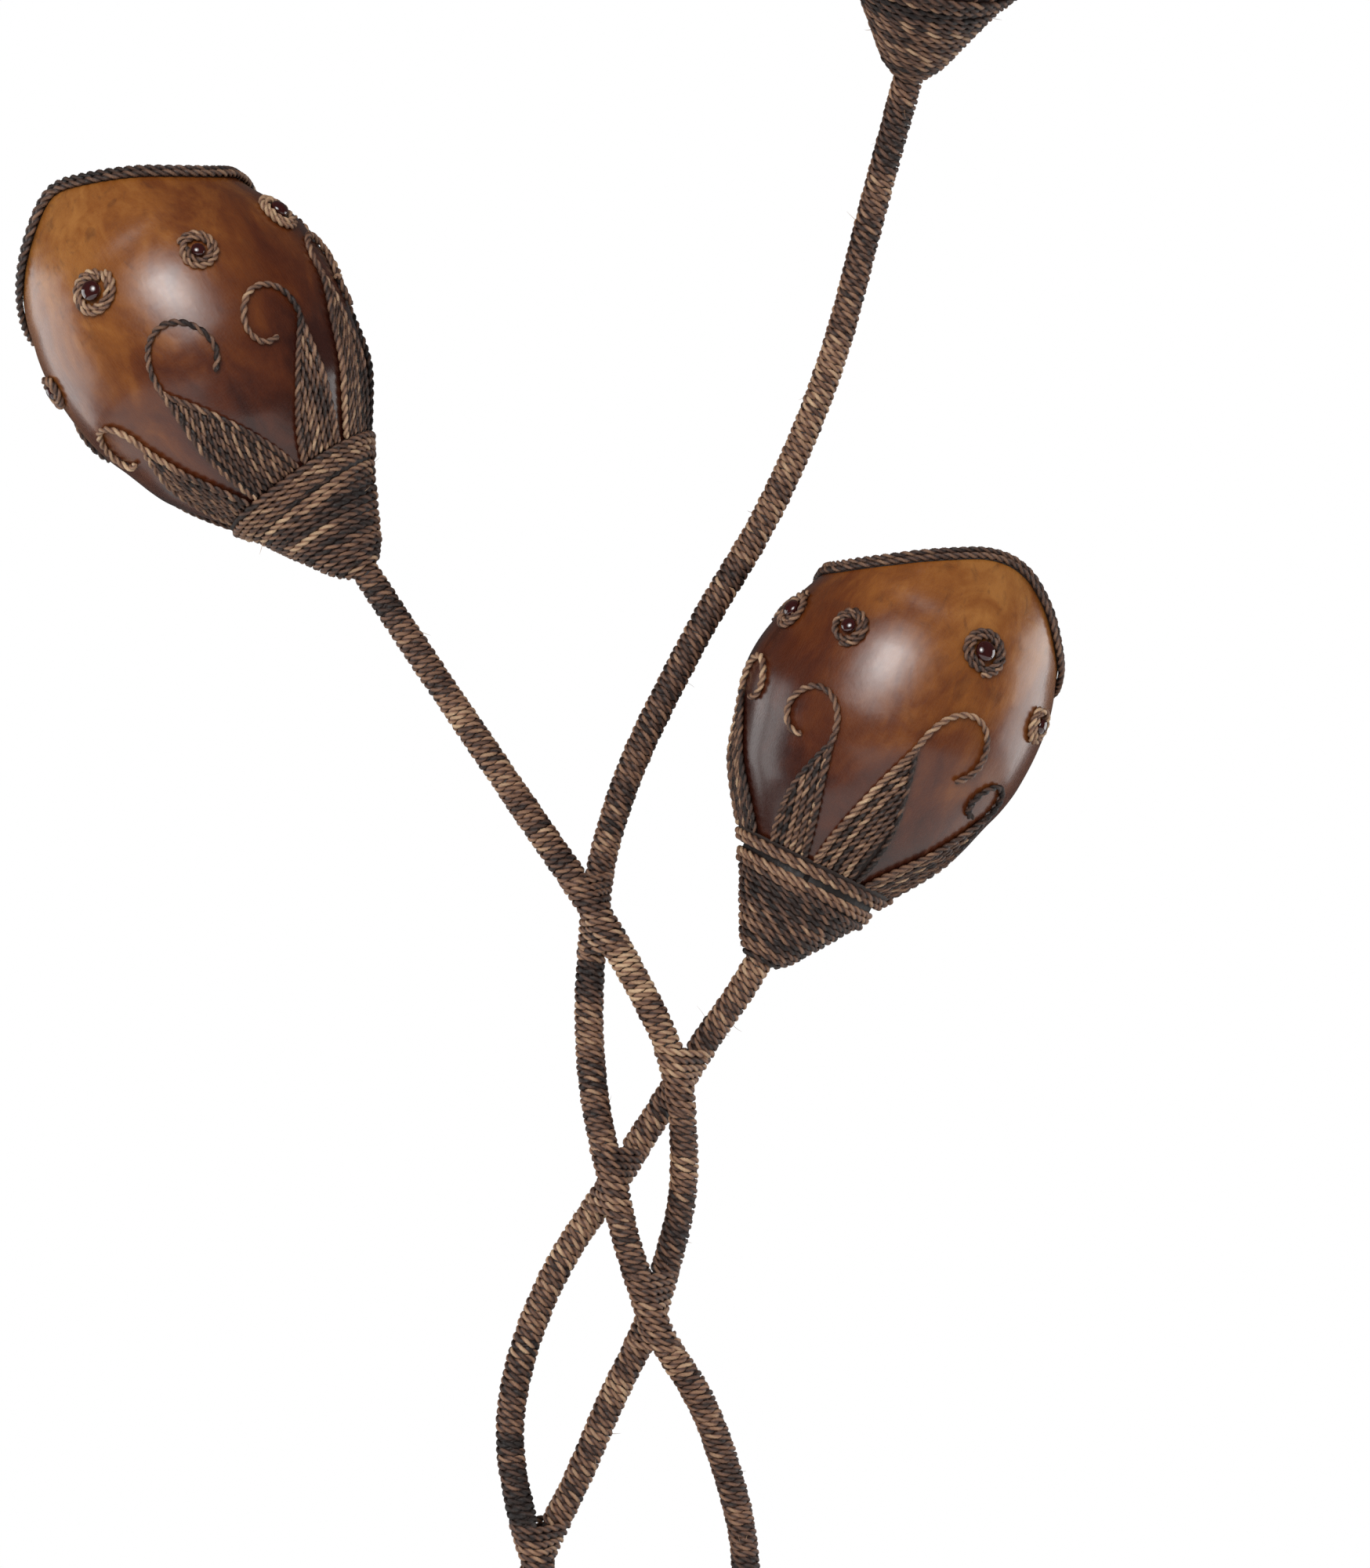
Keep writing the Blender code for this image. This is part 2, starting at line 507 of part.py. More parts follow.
for head, spec in HEADS.items():
    hand = spec["hand"]
    frame = bpy.data.objects.new(head + "_head", None)
    frame.matrix_world = head_frame(spec)
    lamp.objects.link(frame)
    tip_deg, rise, ring_rise = spec["slack"]
    seat = bpy.data.objects.new(head + "_seat", None)
    lamp.objects.link(seat)
    seat.parent = frame
    seat.matrix_local = (
        Matrix.Translation((0.0, 0.0, (SHELL_FLOOR_H + rise) * MM))
        @ Matrix.Rotation(math.radians(tip_deg), 4, "X")
        @ Matrix.Translation((0.0, 0.0, -SHELL_FLOOR_H * MM))
    )
    make_shell(head + "_shade", hand, seat, head)
    make_rim_cord(head + "_rim_cord", hand, seat, head)
    make_crown(head + "_leaf_crown", hand, seat, head)
    turned(head + "_collar_cord", [COLLAR[1], COLLAR[2], COLLAR[3], COLLAR[0]], 20, CORD, seat)
    inner = [(h + (0.9 if h > 4.2 else 1.2), r - (CUP_WALL if h > 4.2 else 0.0)) for h, r in reversed(CUP_PROFILE)]
    inner[-1] = (56.0, CUP_PROFILE[0][1] - CUP_WALL)
    turned(head + "_cup", CUP_PROFILE + inner, 16, CUP_TIN, frame)
    turned(head + "_cup_wrap", CUP_WRAP_OUT + CUP_WRAP_IN, 16, CORD, frame)
    turned(head + "_lampholder", HOLDER, 12, PHENOLIC, frame)
    turned(head + "_shade_ring", [(h + ring_rise, r) for h, r in RING], 12, RING_PLASTIC, frame)
    turned(head + "_bulb_cap", [(57.0, 0.0)] + BULB_CAP, 12, NICKEL, frame, closed=False)
    glass_in = [(h, r - GLASS_WALL) for h, r in reversed(GLASS_OUT)]
    glass_in[-1] = (GLASS_OUT[0][0] - 1.0, 2.0)
    turned(
        head + "_bulb_glass",
        [(GLASS_TOP_H, 0.0)] + GLASS_OUT + glass_in + [(GLASS_TOP_H - 2.0, 0.0)],
        12, FROSTED, frame, closed=False,
    )

# ---------------------------------------------------------------- stems

ROUTES = {"left": LEFT_ROUTE, "top": TOP_ROUTE, "right": RIGHT_ROUTE}
LINES = {}
for stem, route in ROUTES.items():
    spec = HEADS[stem]
    axis = head_frame(spec).to_3x3() @ Vector((0.0, 0.0, 1.0))
    tip = Vector(spec["tip"])
    line = [Vector(p) for p in spline_through(route, STEM_SEGMENTS[stem])]
    # the last stretch stands upright through the base's cover
    line = [p for p in line if p.z > 60.0] + [Vector((route[-1][0], route[-1][1], z)) for z in (46.0, route[-1][2])]
    LINES[stem] = np.array([p + (q - p) * (k / 24) for p, q in zip(line, line[1:]) for k in range(24)])
    # the top of the tube stands in the cup, on the head's axis
    inside = [tip + axis * 16.0, tip - axis * 1.0]
    body = inside + line[1:]
    hollow_tube(stem + "_stem_tube", [tuple(p) for p in body], TUBE_R, TUBE_WALL, STEEL, 1)
    wrap = [tip - axis * 1.2] + line[1:-1] + [Vector((line[-1].x, line[-1].y, 39.0))]
    hollow_tube(stem + "_stem_wrap", [tuple(p) for p in wrap], WRAP_R, WRAP_WALL, CORD)
    flex = [tip + axis * 21.0] + [tip - axis * 1.0] + line[1:-1] + [line[-1], line[-1] + Vector((0.0, 0.0, -5.0))]
    core = poly_curve(stem + "_flex", [tuple(p) for p in flex], FLEX_R, 0, True)
    finish(core, FLEX)

# ---------------------------------------------------------------- lashings

def at_height(line, z):
    k = int(np.argmin(np.abs(line[:, 2] - z)))
    k = min(max(k, 1), len(line) - 2)
    here = line[k]
    way = line[k + 1] - line[k - 1]
    return here, way / np.linalg.norm(way)


def pierce(line, point, normal):
    """Where a line crosses the plane, and its direction there."""
    side = (line - point) @ normal
    near = np.linalg.norm(line - point, axis=1)
    hits = [k for k in range(len(side) - 1) if side[k] * side[k + 1] <= 0 and near[k] < 90.0]
    k = min(hits, key=lambda i: near[i])
    u = side[k] / (side[k] - side[k + 1])
    way = line[k + 1] - line[k]
    return line[k] + u * way, way / np.linalg.norm(way)


def hull_loop(centres, ways, right, back, normal, radius, sides=12):
    """Outline of two slanted round rods cut by a plane, by its support in each direction."""
    loop = []
    for s in range(sides):
        t = 2 * math.pi * (s + 0.5) / sides
        u = np.array([math.cos(t), math.sin(t)])
        best = None
        for c, w in zip(centres, ways):
            tilt = abs(float(w @ normal))
            slant = w - normal * float(w @ normal)
            flat = np.array([float(slant @ right), float(slant @ back)])
            size = np.linalg.norm(flat)
            e1 = flat / size if size > 1e-6 else np.array([1.0, 0.0])
            e2 = np.array([-e1[1], e1[0]])
            a, b = radius / tilt, radius
            reach = math.hypot(a * float(u @ e1), b * float(u @ e2))
            point = (a * a * float(u @ e1) * e1 + b * b * float(u @ e2) * e2) / reach
            point = point + np.array([float((c) @ right), float((c) @ back)])
            score = float(point @ u)
            if best is None or score > best[0]:
                best = (score, point)
        loop.append(best[1])
    return loop


for number, (one, two, z) in enumerate(CROSSINGS, 1):
    p1, w1 = at_height(LINES[one], z)
    p2, w2 = at_height(LINES[two], z)
    middle = (p1 + p2) / 2
    w1 = w1 if w1[2] > 0 else -w1
    w2 = w2 if w2[2] > 0 else -w2
    normal = (w1 + w2) / np.linalg.norm(w1 + w2)
    back = np.array([0.0, 1.0, 0.0])
    back = back - normal * float(back @ normal)
    back /= np.linalg.norm(back)
    right = np.cross(back, normal)
    outers, inners = [], []
    for step in np.linspace(-LASH_HALF, LASH_HALF, 4):
        centre = middle + normal * step
        pair = [pierce(LINES[name], centre, normal) for name in (one, two)]
        centres = [c - centre for c, _ in pair]
        ways = [w for _, w in pair]
        for loops, radius in ((outers, WRAP_R + LASH_CLEAR + LASH_WALL), (inners, WRAP_R + LASH_CLEAR)):
            flat = hull_loop(centres, ways, right, back, normal, radius)
            loops.append([tuple(centre + right * u + back * v) for u, v in flat])
    ring_loft(f"lashing_{number}", outers, inners, CORD_DARK)

# ---------------------------------------------------------------- base

turned("base_felt", [(FELT[1], 0.0), (FELT[1], FELT[2]), (FELT[0], FELT[2]), (FELT[0], 0.0)], 32, FELT_GREEN, closed=False)
turned("base_plate", [(PLATE[1], 0.0), (PLATE[1], PLATE[2]), (PLATE[0], PLATE[2]), (PLATE[0], 0.0)], 32, PRESSED, closed=False)
low, high, outer_r, inner_r = WEIGHT
turned("base_weight", [(high, inner_r), (high, outer_r), (low, outer_r), (low, inner_r)], 24, IRON)
cover = turned("base_cover", COVER_OUT + COVER_IN, 24, PRESSED, closed=False)
cord_cover = turned("base_cord_cover", CORD_COVER_OUT + CORD_COVER_IN, 24, CORD, closed=False)

for stem, route in ROUTES.items():
    x, y, _ = route[-1]
    cut(cover, peg(stem + "_cover_hole", TUBE_HOLE_R, 20.0, (x, y, 33.0)))
    cut(cord_cover, peg(stem + "_cord_hole", TUBE_HOLE_R, 20.0, (x, y, 37.0)))
    nut = peg(stem + "_tube_nut", NUT_AF / math.sqrt(3), NUT_HIGH - NUT_LOW, (x, y, (NUT_LOW + NUT_HIGH) / 2), sides=6)
    finish(nut, BRASS, smooth=False)
    cut(nut, peg(stem + "_nut_bore", TUBE_R + 0.6, 20.0, (x, y, 28.0)))

cut(cover, peg("cover_lead_hole", LEAD_HOLE_R, 20.0, (0.0, 149.0, LEAD_Z), (math.pi / 2, 0.19, 0.0)))
cut(cord_cover, peg("cord_lead_hole", 10.0, 14.0, (0.0, 152.0, LEAD_Z), (math.pi / 2, 0.19, 0.0)))
grommet = turned("lead_grommet", GROMMET, 12, RUBBER)
grommet.matrix_world = Matrix.Translation((0.0, 0.0, LEAD_Z * MM)) @ Matrix.Rotation(-math.pi / 2, 4, "X")

bpy.ops.mesh.primitive_cube_add(size=1.0, location=(TERMINALS_AT[0] * MM, TERMINALS_AT[1] * MM, (PLATE[1] + 0.6 + TERMINALS[2] / 2) * MM))
block = bpy.context.active_object
block.name = "terminal_block"
for vert in block.data.vertices:
    vert.co = Vector((vert.co.x * TERMINALS[0], vert.co.y * TERMINALS[1], vert.co.z * TERMINALS[2])) * MM
finish(block, CREAM, smooth=False)
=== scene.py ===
# Three-headed gourd floor lamp: its looks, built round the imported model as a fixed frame.
# Every mesh is made in the row frame, in metres; lengths below are millimetres until the mesh is made.
import math

import bpy
import numpy as np
from mathutils import Matrix, Vector


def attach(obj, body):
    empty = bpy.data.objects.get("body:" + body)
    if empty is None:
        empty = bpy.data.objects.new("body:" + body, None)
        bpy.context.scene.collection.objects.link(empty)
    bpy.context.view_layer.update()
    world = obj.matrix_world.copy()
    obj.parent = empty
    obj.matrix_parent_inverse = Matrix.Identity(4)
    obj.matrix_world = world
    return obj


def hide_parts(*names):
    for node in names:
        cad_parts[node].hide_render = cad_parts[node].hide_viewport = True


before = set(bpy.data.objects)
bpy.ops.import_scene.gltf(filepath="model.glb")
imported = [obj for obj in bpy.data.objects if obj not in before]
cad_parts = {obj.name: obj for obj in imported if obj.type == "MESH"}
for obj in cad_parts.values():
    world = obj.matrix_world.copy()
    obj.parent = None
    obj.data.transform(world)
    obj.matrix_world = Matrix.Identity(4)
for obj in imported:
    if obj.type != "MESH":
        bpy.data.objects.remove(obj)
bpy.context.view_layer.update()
MM = 0.001

# ---------------------------------------------------------------- dimensions shared with the CAD

ROUTES = {
    "left": [
        (-169.6, 0, 1032), (-134.5, 0, 979), (-95, -4, 921), (-55, -9, 863), (-25, -9.6, 819), (-1, -9.6, 777),
        (18, -9.6, 735), (25, -6, 687), (24, 0, 648), (14, 8, 605), (3, 9.6, 570), (-16, 9, 531),
        (-41, 8, 474), (-63, 9.6, 428), (-76, 6, 378), (-76, 0, 331), (-61, -6, 270), (-32, -9.6, 205),
        (-10, -4, 155), (11, 8, 104), (25, 14, 74), (35.5, 18, 46), (36, 18, 20),
    ],
    "top": [
        (158.2, -74, 1321), (151.4, -57, 1295), (142.2, -39, 1261), (132, -24, 1221), (121, -13, 1179),
        (107, -5, 1137), (89, 0, 1094), (67, 3, 1051), (41, 5, 1008), (18, 7, 965), (-3, 9, 922),
        (-19, 9.6, 878), (-27, 9.6, 845), (-30, 9.6, 816), (-33, 8, 772), (-32, 4, 734), (-27, -6, 697),
        (-19, -9.6, 663), (-11, -9.6, 628), (-1, -9.6, 597), (10, -9.6, 568), (31, -6, 534), (50, 0, 487),
        (62, 4, 436), (62, 2, 393), (53, -4, 351), (35, -9, 312), (17, -9.6, 281), (-6, -3, 238),
        (-27, 9, 196), (-40, 12, 157), (-45, 14, 114), (-43, 16, 76), (-37.5, 18, 46), (-37, 18, 20),
    ],
    "right": [
        (70.1, 0, 792.5), (63.6, 0.3, 781.3), (51.5, 2, 763.2), (41.3, 4.5, 748.8), (25, 9, 723),
        (12, 9.6, 704), (-3, 9.6, 681), (-19, 9.6, 656), (-44, 4, 620), (-60, 0, 590), (-75, -4, 548),
        (-81, -7, 505), (-78, -9, 477), (-68, -9.6, 438), (-55, -9, 405), (-38, -4, 368), (-17, 4, 328),
        (5, 9, 293), (22, 9.6, 266), (37, 7, 233), (47, 0, 199), (48, -7, 165), (40, -11, 131),
        (28, -14, 103), (16, -18, 75), (5.5, -22, 46), (5, -22, 20),
    ],
}
SEGMENTS = {"left": 24, "top": 31, "right": 20}
TUBE_R = 6.0
WRAP_END_Z = 39.0
CROSSINGS = [
    ("left", "top", 823.0), ("left", "right", 727.0), ("top", "right", 662.0), ("left", "top", 581.0),
    ("left", "right", 436.0), ("top", "right", 276.0), ("left", "top", 191.0), ("left", "right", 82.0),
]
HEADS = {
    "left": {"tip": (-169.6, 0.0, 1032.0), "turn": 125.4, "lean": 0.0, "hand": 1, "slack": (0.0, 0.0, 0.0)},
    "right": {"tip": (70.1, 0.0, 792.5), "turn": 59.6, "lean": 0.0, "hand": -1, "slack": (4.2, 2.6, 4.8)},
    "top": {"tip": (158.2, -74.0, 1321.0), "turn": 78.0, "lean": 31.0, "hand": -1, "slack": (0.0, 0.0, 0.0)},
}
SHELL_WALL = 3.5
SHELL_HOLE_R = 21.3
SHELL_FLOOR_H = 52.4
FLAT_DEPTH = {"left": 5.5, "right": 12.5, "top": 0.0}
FLAT_FOOT = {"left": 196.0, "right": 158.0, "top": 196.0}
FLAT_TOP = {"left": 238.0, "right": 238.0, "top": 238.0}
FLAT_DEG, FLAT_SPREAD = 92.0, 36.0
SHELL_PROFILE = [
    (56.0, 39.5), (62.0, 44.4), (67.2, 48.0), (76.8, 55.2), (86.4, 62.4), (96.0, 69.1), (105.6, 74.9),
    (115.2, 78.7), (124.8, 81.6), (134.4, 84.5), (144.0, 87.8), (153.6, 90.2), (163.2, 91.7),
    (182.4, 92.6), (201.6, 91.7), (211.2, 90.2), (220.8, 87.8), (230.4, 84.5), (240.0, 81.6),
    (249.6, 77.3), (259.2, 72.0), (268.8, 65.8), (278.4, 58.1), (288.0, 49.0), (297.6, 38.4),
    (307.2, 24.0),
]
RIM_LINES = {
    "left": [
        (-180, 225.0), (-150, 226.0), (-125, 229.5), (-105, 236.5), (-90, 246.5), (-75, 259.5), (-60, 273.0),
        (-50, 281.5), (-40, 289.0), (-27, 293.0), (-12, 291.5), (2, 285.5), (15, 278.0), (29, 268.0),
        (41, 257.5), (52, 250.0), (62, 246.5), (78, 245.0), (98, 242.0), (116, 236.0), (136, 229.5),
    ],
    "right": [
        (-180, 223.0), (-150, 223.5), (-125, 225.5), (-105, 229.5), (-92, 234.5), (-83, 240.5), (-72, 252.0),
        (-62, 266.5), (-47, 279.5), (-33, 284.0), (-19, 284.0), (-4, 280.0), (11, 271.0), (23, 262.0),
        (34, 252.5), (46, 243.5), (58, 237.5), (72, 235.0), (90, 234.5), (108, 231.0), (128, 226.0),
    ],
    "top": [
        (-180, 224.0), (-150, 225.0), (-125, 228.0), (-105, 234.0), (-90, 243.0), (-75, 256.0), (-60, 270.0),
        (-50, 278.0), (-40, 284.5), (-27, 287.5), (-12, 286.0), (2, 281.0), (15, 274.0), (29, 263.0),
        (41, 252.0), (52, 243.5), (62, 237.0), (78, 231.5), (100, 228.0), (130, 225.5),
    ],
}
CUP_WRAP_OUT = [(56.6, 46.6), (28.8, 30.6), (9.6, 19.4), (2.5, 12.6), (0.0, 9.2)]
HOLDER = [
    (65.6, 19.7), (52.0, 19.7), (52.0, 23.0), (49.6, 23.0), (49.6, 18.0), (22.0, 16.0), (14.5, 12.0),
    (8.4, 9.6), (8.4, 6.5), (16.5, 6.5), (16.5, 3.2), (24.0, 3.2), (24.0, 14.4), (65.6, 14.4),
]
RING = [(62.4, 26.0), (58.0, 26.0), (58.0, 21.0), (62.4, 21.0)]
COVER_OUT = [(34.0, 0.0), (34.0, 78.0), (24.5, 138.0), (21.5, 146.0), (15.0, 149.8), (4.0, 150.0)]
CORD_COVER_OUT = [(38.4, 0.0), (38.4, 78.6), (28.8, 139.5), (25.2, 149.0), (17.0, 154.0), (2.6, 154.2)]
LEAD_Z = 10.6

# ---------------------------------------------------------------- curves and tables


def natural_spline(points, count):
    """Smooth curve through the points (natural cubic over chord length), at count + 1 even steps."""
    p = np.array(points, float)
    t = np.concatenate([[0.0], np.cumsum(np.linalg.norm(np.diff(p, axis=0), axis=1))])
    n, h = len(p), np.diff(t)
    a, rhs = np.zeros((n, n)), np.zeros((n, 3))
    a[0, 0] = a[-1, -1] = 1.0
    for i in range(1, n - 1):
        a[i, i - 1], a[i, i], a[i, i + 1] = h[i - 1], 2 * (h[i - 1] + h[i]), h[i]
        rhs[i] = 6 * ((p[i + 1] - p[i]) / h[i] - (p[i] - p[i - 1]) / h[i - 1])
    m = np.linalg.solve(a, rhs)
    s = np.linspace(0.0, t[-1], 4000)
    i = np.clip(np.searchsorted(t, s, side="right") - 1, 0, n - 2)
    u, v, w = (t[i + 1] - s)[:, None], (s - t[i])[:, None], h[i][:, None]
    fine = (m[i] * u**3 + m[i + 1] * v**3) / (6 * w) + (p[i] / w - m[i] * w / 6) * u + (p[i + 1] / w - m[i + 1] * w / 6) * v
    run = np.concatenate([[0.0], np.cumsum(np.linalg.norm(np.diff(fine, axis=0), axis=1))])
    want = np.linspace(0.0, run[-1], count + 1)
    return np.stack([np.interp(want, run, fine[:, k]) for k in range(3)], axis=1)


def smooth_table(table, x, period=None):
    """Catmull-Rom through (x, y) pairs, which are sorted on x."""
    if period:
        table = [(table[-2][0] - period, table[-2][1]), (table[-1][0] - period, table[-1][1])] + list(table) + [
            (table[0][0] + period, table[0][1]), (table[1][0] + period, table[1][1]),
        ]
        while x < table[1][0]:
            x += period
        while x >= table[-2][0]:
            x -= period
    xs = [p[0] for p in table]
    if x <= xs[0]:
        return table[0][1]
    if x >= xs[-1]:
        return table[-1][1]
    i = max(j for j in range(len(xs) - 1) if xs[j] <= x)
    (x1, y1), (x2, y2) = table[i], table[i + 1]
    x0, y0 = table[i - 1] if i > 0 else (2 * x1 - x2, 2 * y1 - y2)
    x3, y3 = table[i + 2] if i + 2 < len(table) else (2 * x2 - x1, 2 * y2 - y1)
    m1 = (y2 - y0) / (x2 - x0) * (x2 - x1)
    m2 = (y3 - y1) / (x3 - x1) * (x2 - x1)
    u = (x - x1) / (x2 - x1)
    return (2 * u**3 - 3 * u**2 + 1) * y1 + (u**3 - 2 * u**2 + u) * m1 + (3 * u**2 - 2 * u**3) * y2 + (u**3 - u**2) * m2


SHELL_H = np.arange(54.0, 306.01, 0.25)
SHELL_R = np.array([smooth_table(SHELL_PROFILE, h) for h in SHELL_H])
SHELL_SLOPE = np.gradient(SHELL_R, SHELL_H)
kernel = np.hanning(21)
kernel /= kernel.sum()
SHELL_SLOPE = np.convolve(np.pad(SHELL_SLOPE, 10, mode="edge"), kernel, mode="valid")
RIM_DEG = np.arange(-180.0, 180.01, 0.5)
RIM_H = {head: np.array([smooth_table(table, d, 360.0) for d in RIM_DEG]) for head, table in RIM_LINES.items()}


def rim_height(head, deg):
    return np.interp((np.asarray(deg, float) + 180.0) % 360.0 - 180.0, RIM_DEG, RIM_H[head])


def shell_radius(head, deg, h):
    """The round profile less the flatter side some gourds have near their mouth."""
    deg, h = np.broadcast_arrays(np.asarray(deg, float), np.asarray(h, float))
    away = ((deg - FLAT_DEG + 180.0) % 360.0 - 180.0) / FLAT_SPREAD
    t = np.clip((h - FLAT_FOOT[head]) / (FLAT_TOP[head] - FLAT_FOOT[head]), 0.0, 1.0)
    return np.interp(h, SHELL_H, SHELL_R) - FLAT_DEPTH[head] * np.exp(-away * away) * t * t * (3.0 - 2.0 * t)


def shell_at(deg, h, out, head):
    """Local points on the gourd's outside, and normals, at angles and heights, moved out along the normal."""
    hand = HEADS[head]["hand"]
    deg, h, out = np.broadcast_arrays(np.asarray(deg, float), np.asarray(h, float), np.asarray(out, float))
    r, slope = shell_radius(head, deg, h), np.interp(h, SHELL_H, SHELL_SLOPE)
    slope = slope + (FLAT_DEPTH[head] > 0) * ((shell_radius(head, deg, h + 2.0) - shell_radius(head, deg, h - 2.0)) / 4.0 - (np.interp(h + 2.0, SHELL_H, SHELL_R) - np.interp(h - 2.0, SHELL_H, SHELL_R)) / 4.0)
    length, a = np.hypot(1.0, slope), np.radians(deg)
    normal = np.stack([np.cos(a) / length, hand * np.sin(a) / length, -slope / length], axis=-1)
    foot = np.stack([r * np.cos(a), hand * r * np.sin(a), h], axis=-1)
    return foot + normal * out[..., None], normal


def head_matrix(spec):
    turn, lean = math.radians(spec["turn"]), math.radians(spec["lean"])
    axis = Vector((math.cos(lean) * math.cos(turn), -math.sin(lean), math.cos(lean) * math.sin(turn)))
    front = Vector((0.0, -1.0, 0.0))
    front = (front - axis * front.dot(axis)).normalized()
    m = Matrix((front, axis.cross(front), axis)).transposed().to_4x4()
    m.translation = Vector(spec["tip"])
    return m


def seat_matrix(spec):
    tip_deg, rise, _ = spec["slack"]
    return (
        head_matrix(spec) @ Matrix.Translation((0.0, 0.0, SHELL_FLOOR_H + rise))
        @ Matrix.Rotation(math.radians(tip_deg), 4, "X") @ Matrix.Translation((0.0, 0.0, -SHELL_FLOOR_H))
    )


def moved(matrix, points):
    m = np.array(matrix)
    return points @ m[:3, :3].T + m[:3, 3]


def turned_by(matrix, vectors):
    return vectors @ np.array(matrix)[:3, :3].T


def resample(path, up, step, closed=False):
    """The same line at even steps, with its up vectors."""
    if closed:
        path, up = np.vstack([path, path[:1]]), np.vstack([up, up[:1]])
    run = np.concatenate([[0.0], np.cumsum(np.linalg.norm(np.diff(path, axis=0), axis=1))])
    count = max(3, int(round(run[-1] / step)))
    want = np.linspace(0.0, run[-1], count + 1)
    if closed:
        want = want[:-1]
    return (
        np.stack([np.interp(want, run, path[:, k]) for k in range(3)], axis=1),
        np.stack([np.interp(want, run, up[:, k]) for k in range(3)], axis=1),
    )


def curve_through(points, count=160):
    """A smooth line through 2-D points."""
    p = np.array([(x, y, 0.0) for x, y in points], float)
    return natural_spline(p, count)[:, :2]


def noise1(s, scale, seed):
    """Smooth value noise along a length, from -1 to 1."""
    rng = np.random.default_rng(seed)
    x = np.maximum(np.asarray(s, float), 0.0) / scale
    knots = rng.uniform(-1.0, 1.0, int(x.max()) + 3)
    i = np.floor(x).astype(int)
    f = x - i
    f = f * f * (3 - 2 * f)
    return knots[i] * (1 - f) + knots[i + 1] * f


# ---------------------------------------------------------------- mesh builders


def make_mesh(name, verts, quads, tris=None, floats=None, vectors=None, smooth=True, sharp=None):
    """A mesh from numpy arrays, in millimetres, with point attributes."""
    me = bpy.data.meshes.new(name)
    verts = np.asarray(verts, np.float32) * MM
    quads = np.asarray(quads, np.int32).reshape(-1, 4)
    tris = np.zeros((0, 3), np.int32) if tris is None else np.asarray(tris, np.int32).reshape(-1, 3)
    me.vertices.add(len(verts))
    me.vertices.foreach_set("co", verts.reshape(-1))
    me.loops.add(quads.size + tris.size)
    me.loops.foreach_set("vertex_index", np.concatenate([quads.reshape(-1), tris.reshape(-1)]))
    me.polygons.add(len(quads) + len(tris))
    starts = np.concatenate([np.arange(len(quads)) * 4, quads.size + np.arange(len(tris)) * 3])
    me.polygons.foreach_set("loop_start", starts.astype(np.int32))
    me.polygons.foreach_set("use_smooth", np.full(len(starts), smooth))
    me.update(calc_edges=True)
    for key, values in (floats or {}).items():
        me.attributes.new(key, "FLOAT", "POINT").data.foreach_set("value", np.asarray(values, np.float32))
    for key, values in (vectors or {}).items():
        me.attributes.new(key, "FLOAT_VECTOR", "POINT").data.foreach_set("vector", np.asarray(values, np.float32).reshape(-1))
    if sharp:
        me.set_sharp_from_angle(angle=math.radians(sharp))
    me.validate()
    ob = bpy.data.objects.new(name, me)
    bpy.context.scene.collection.objects.link(ob)
    return ob


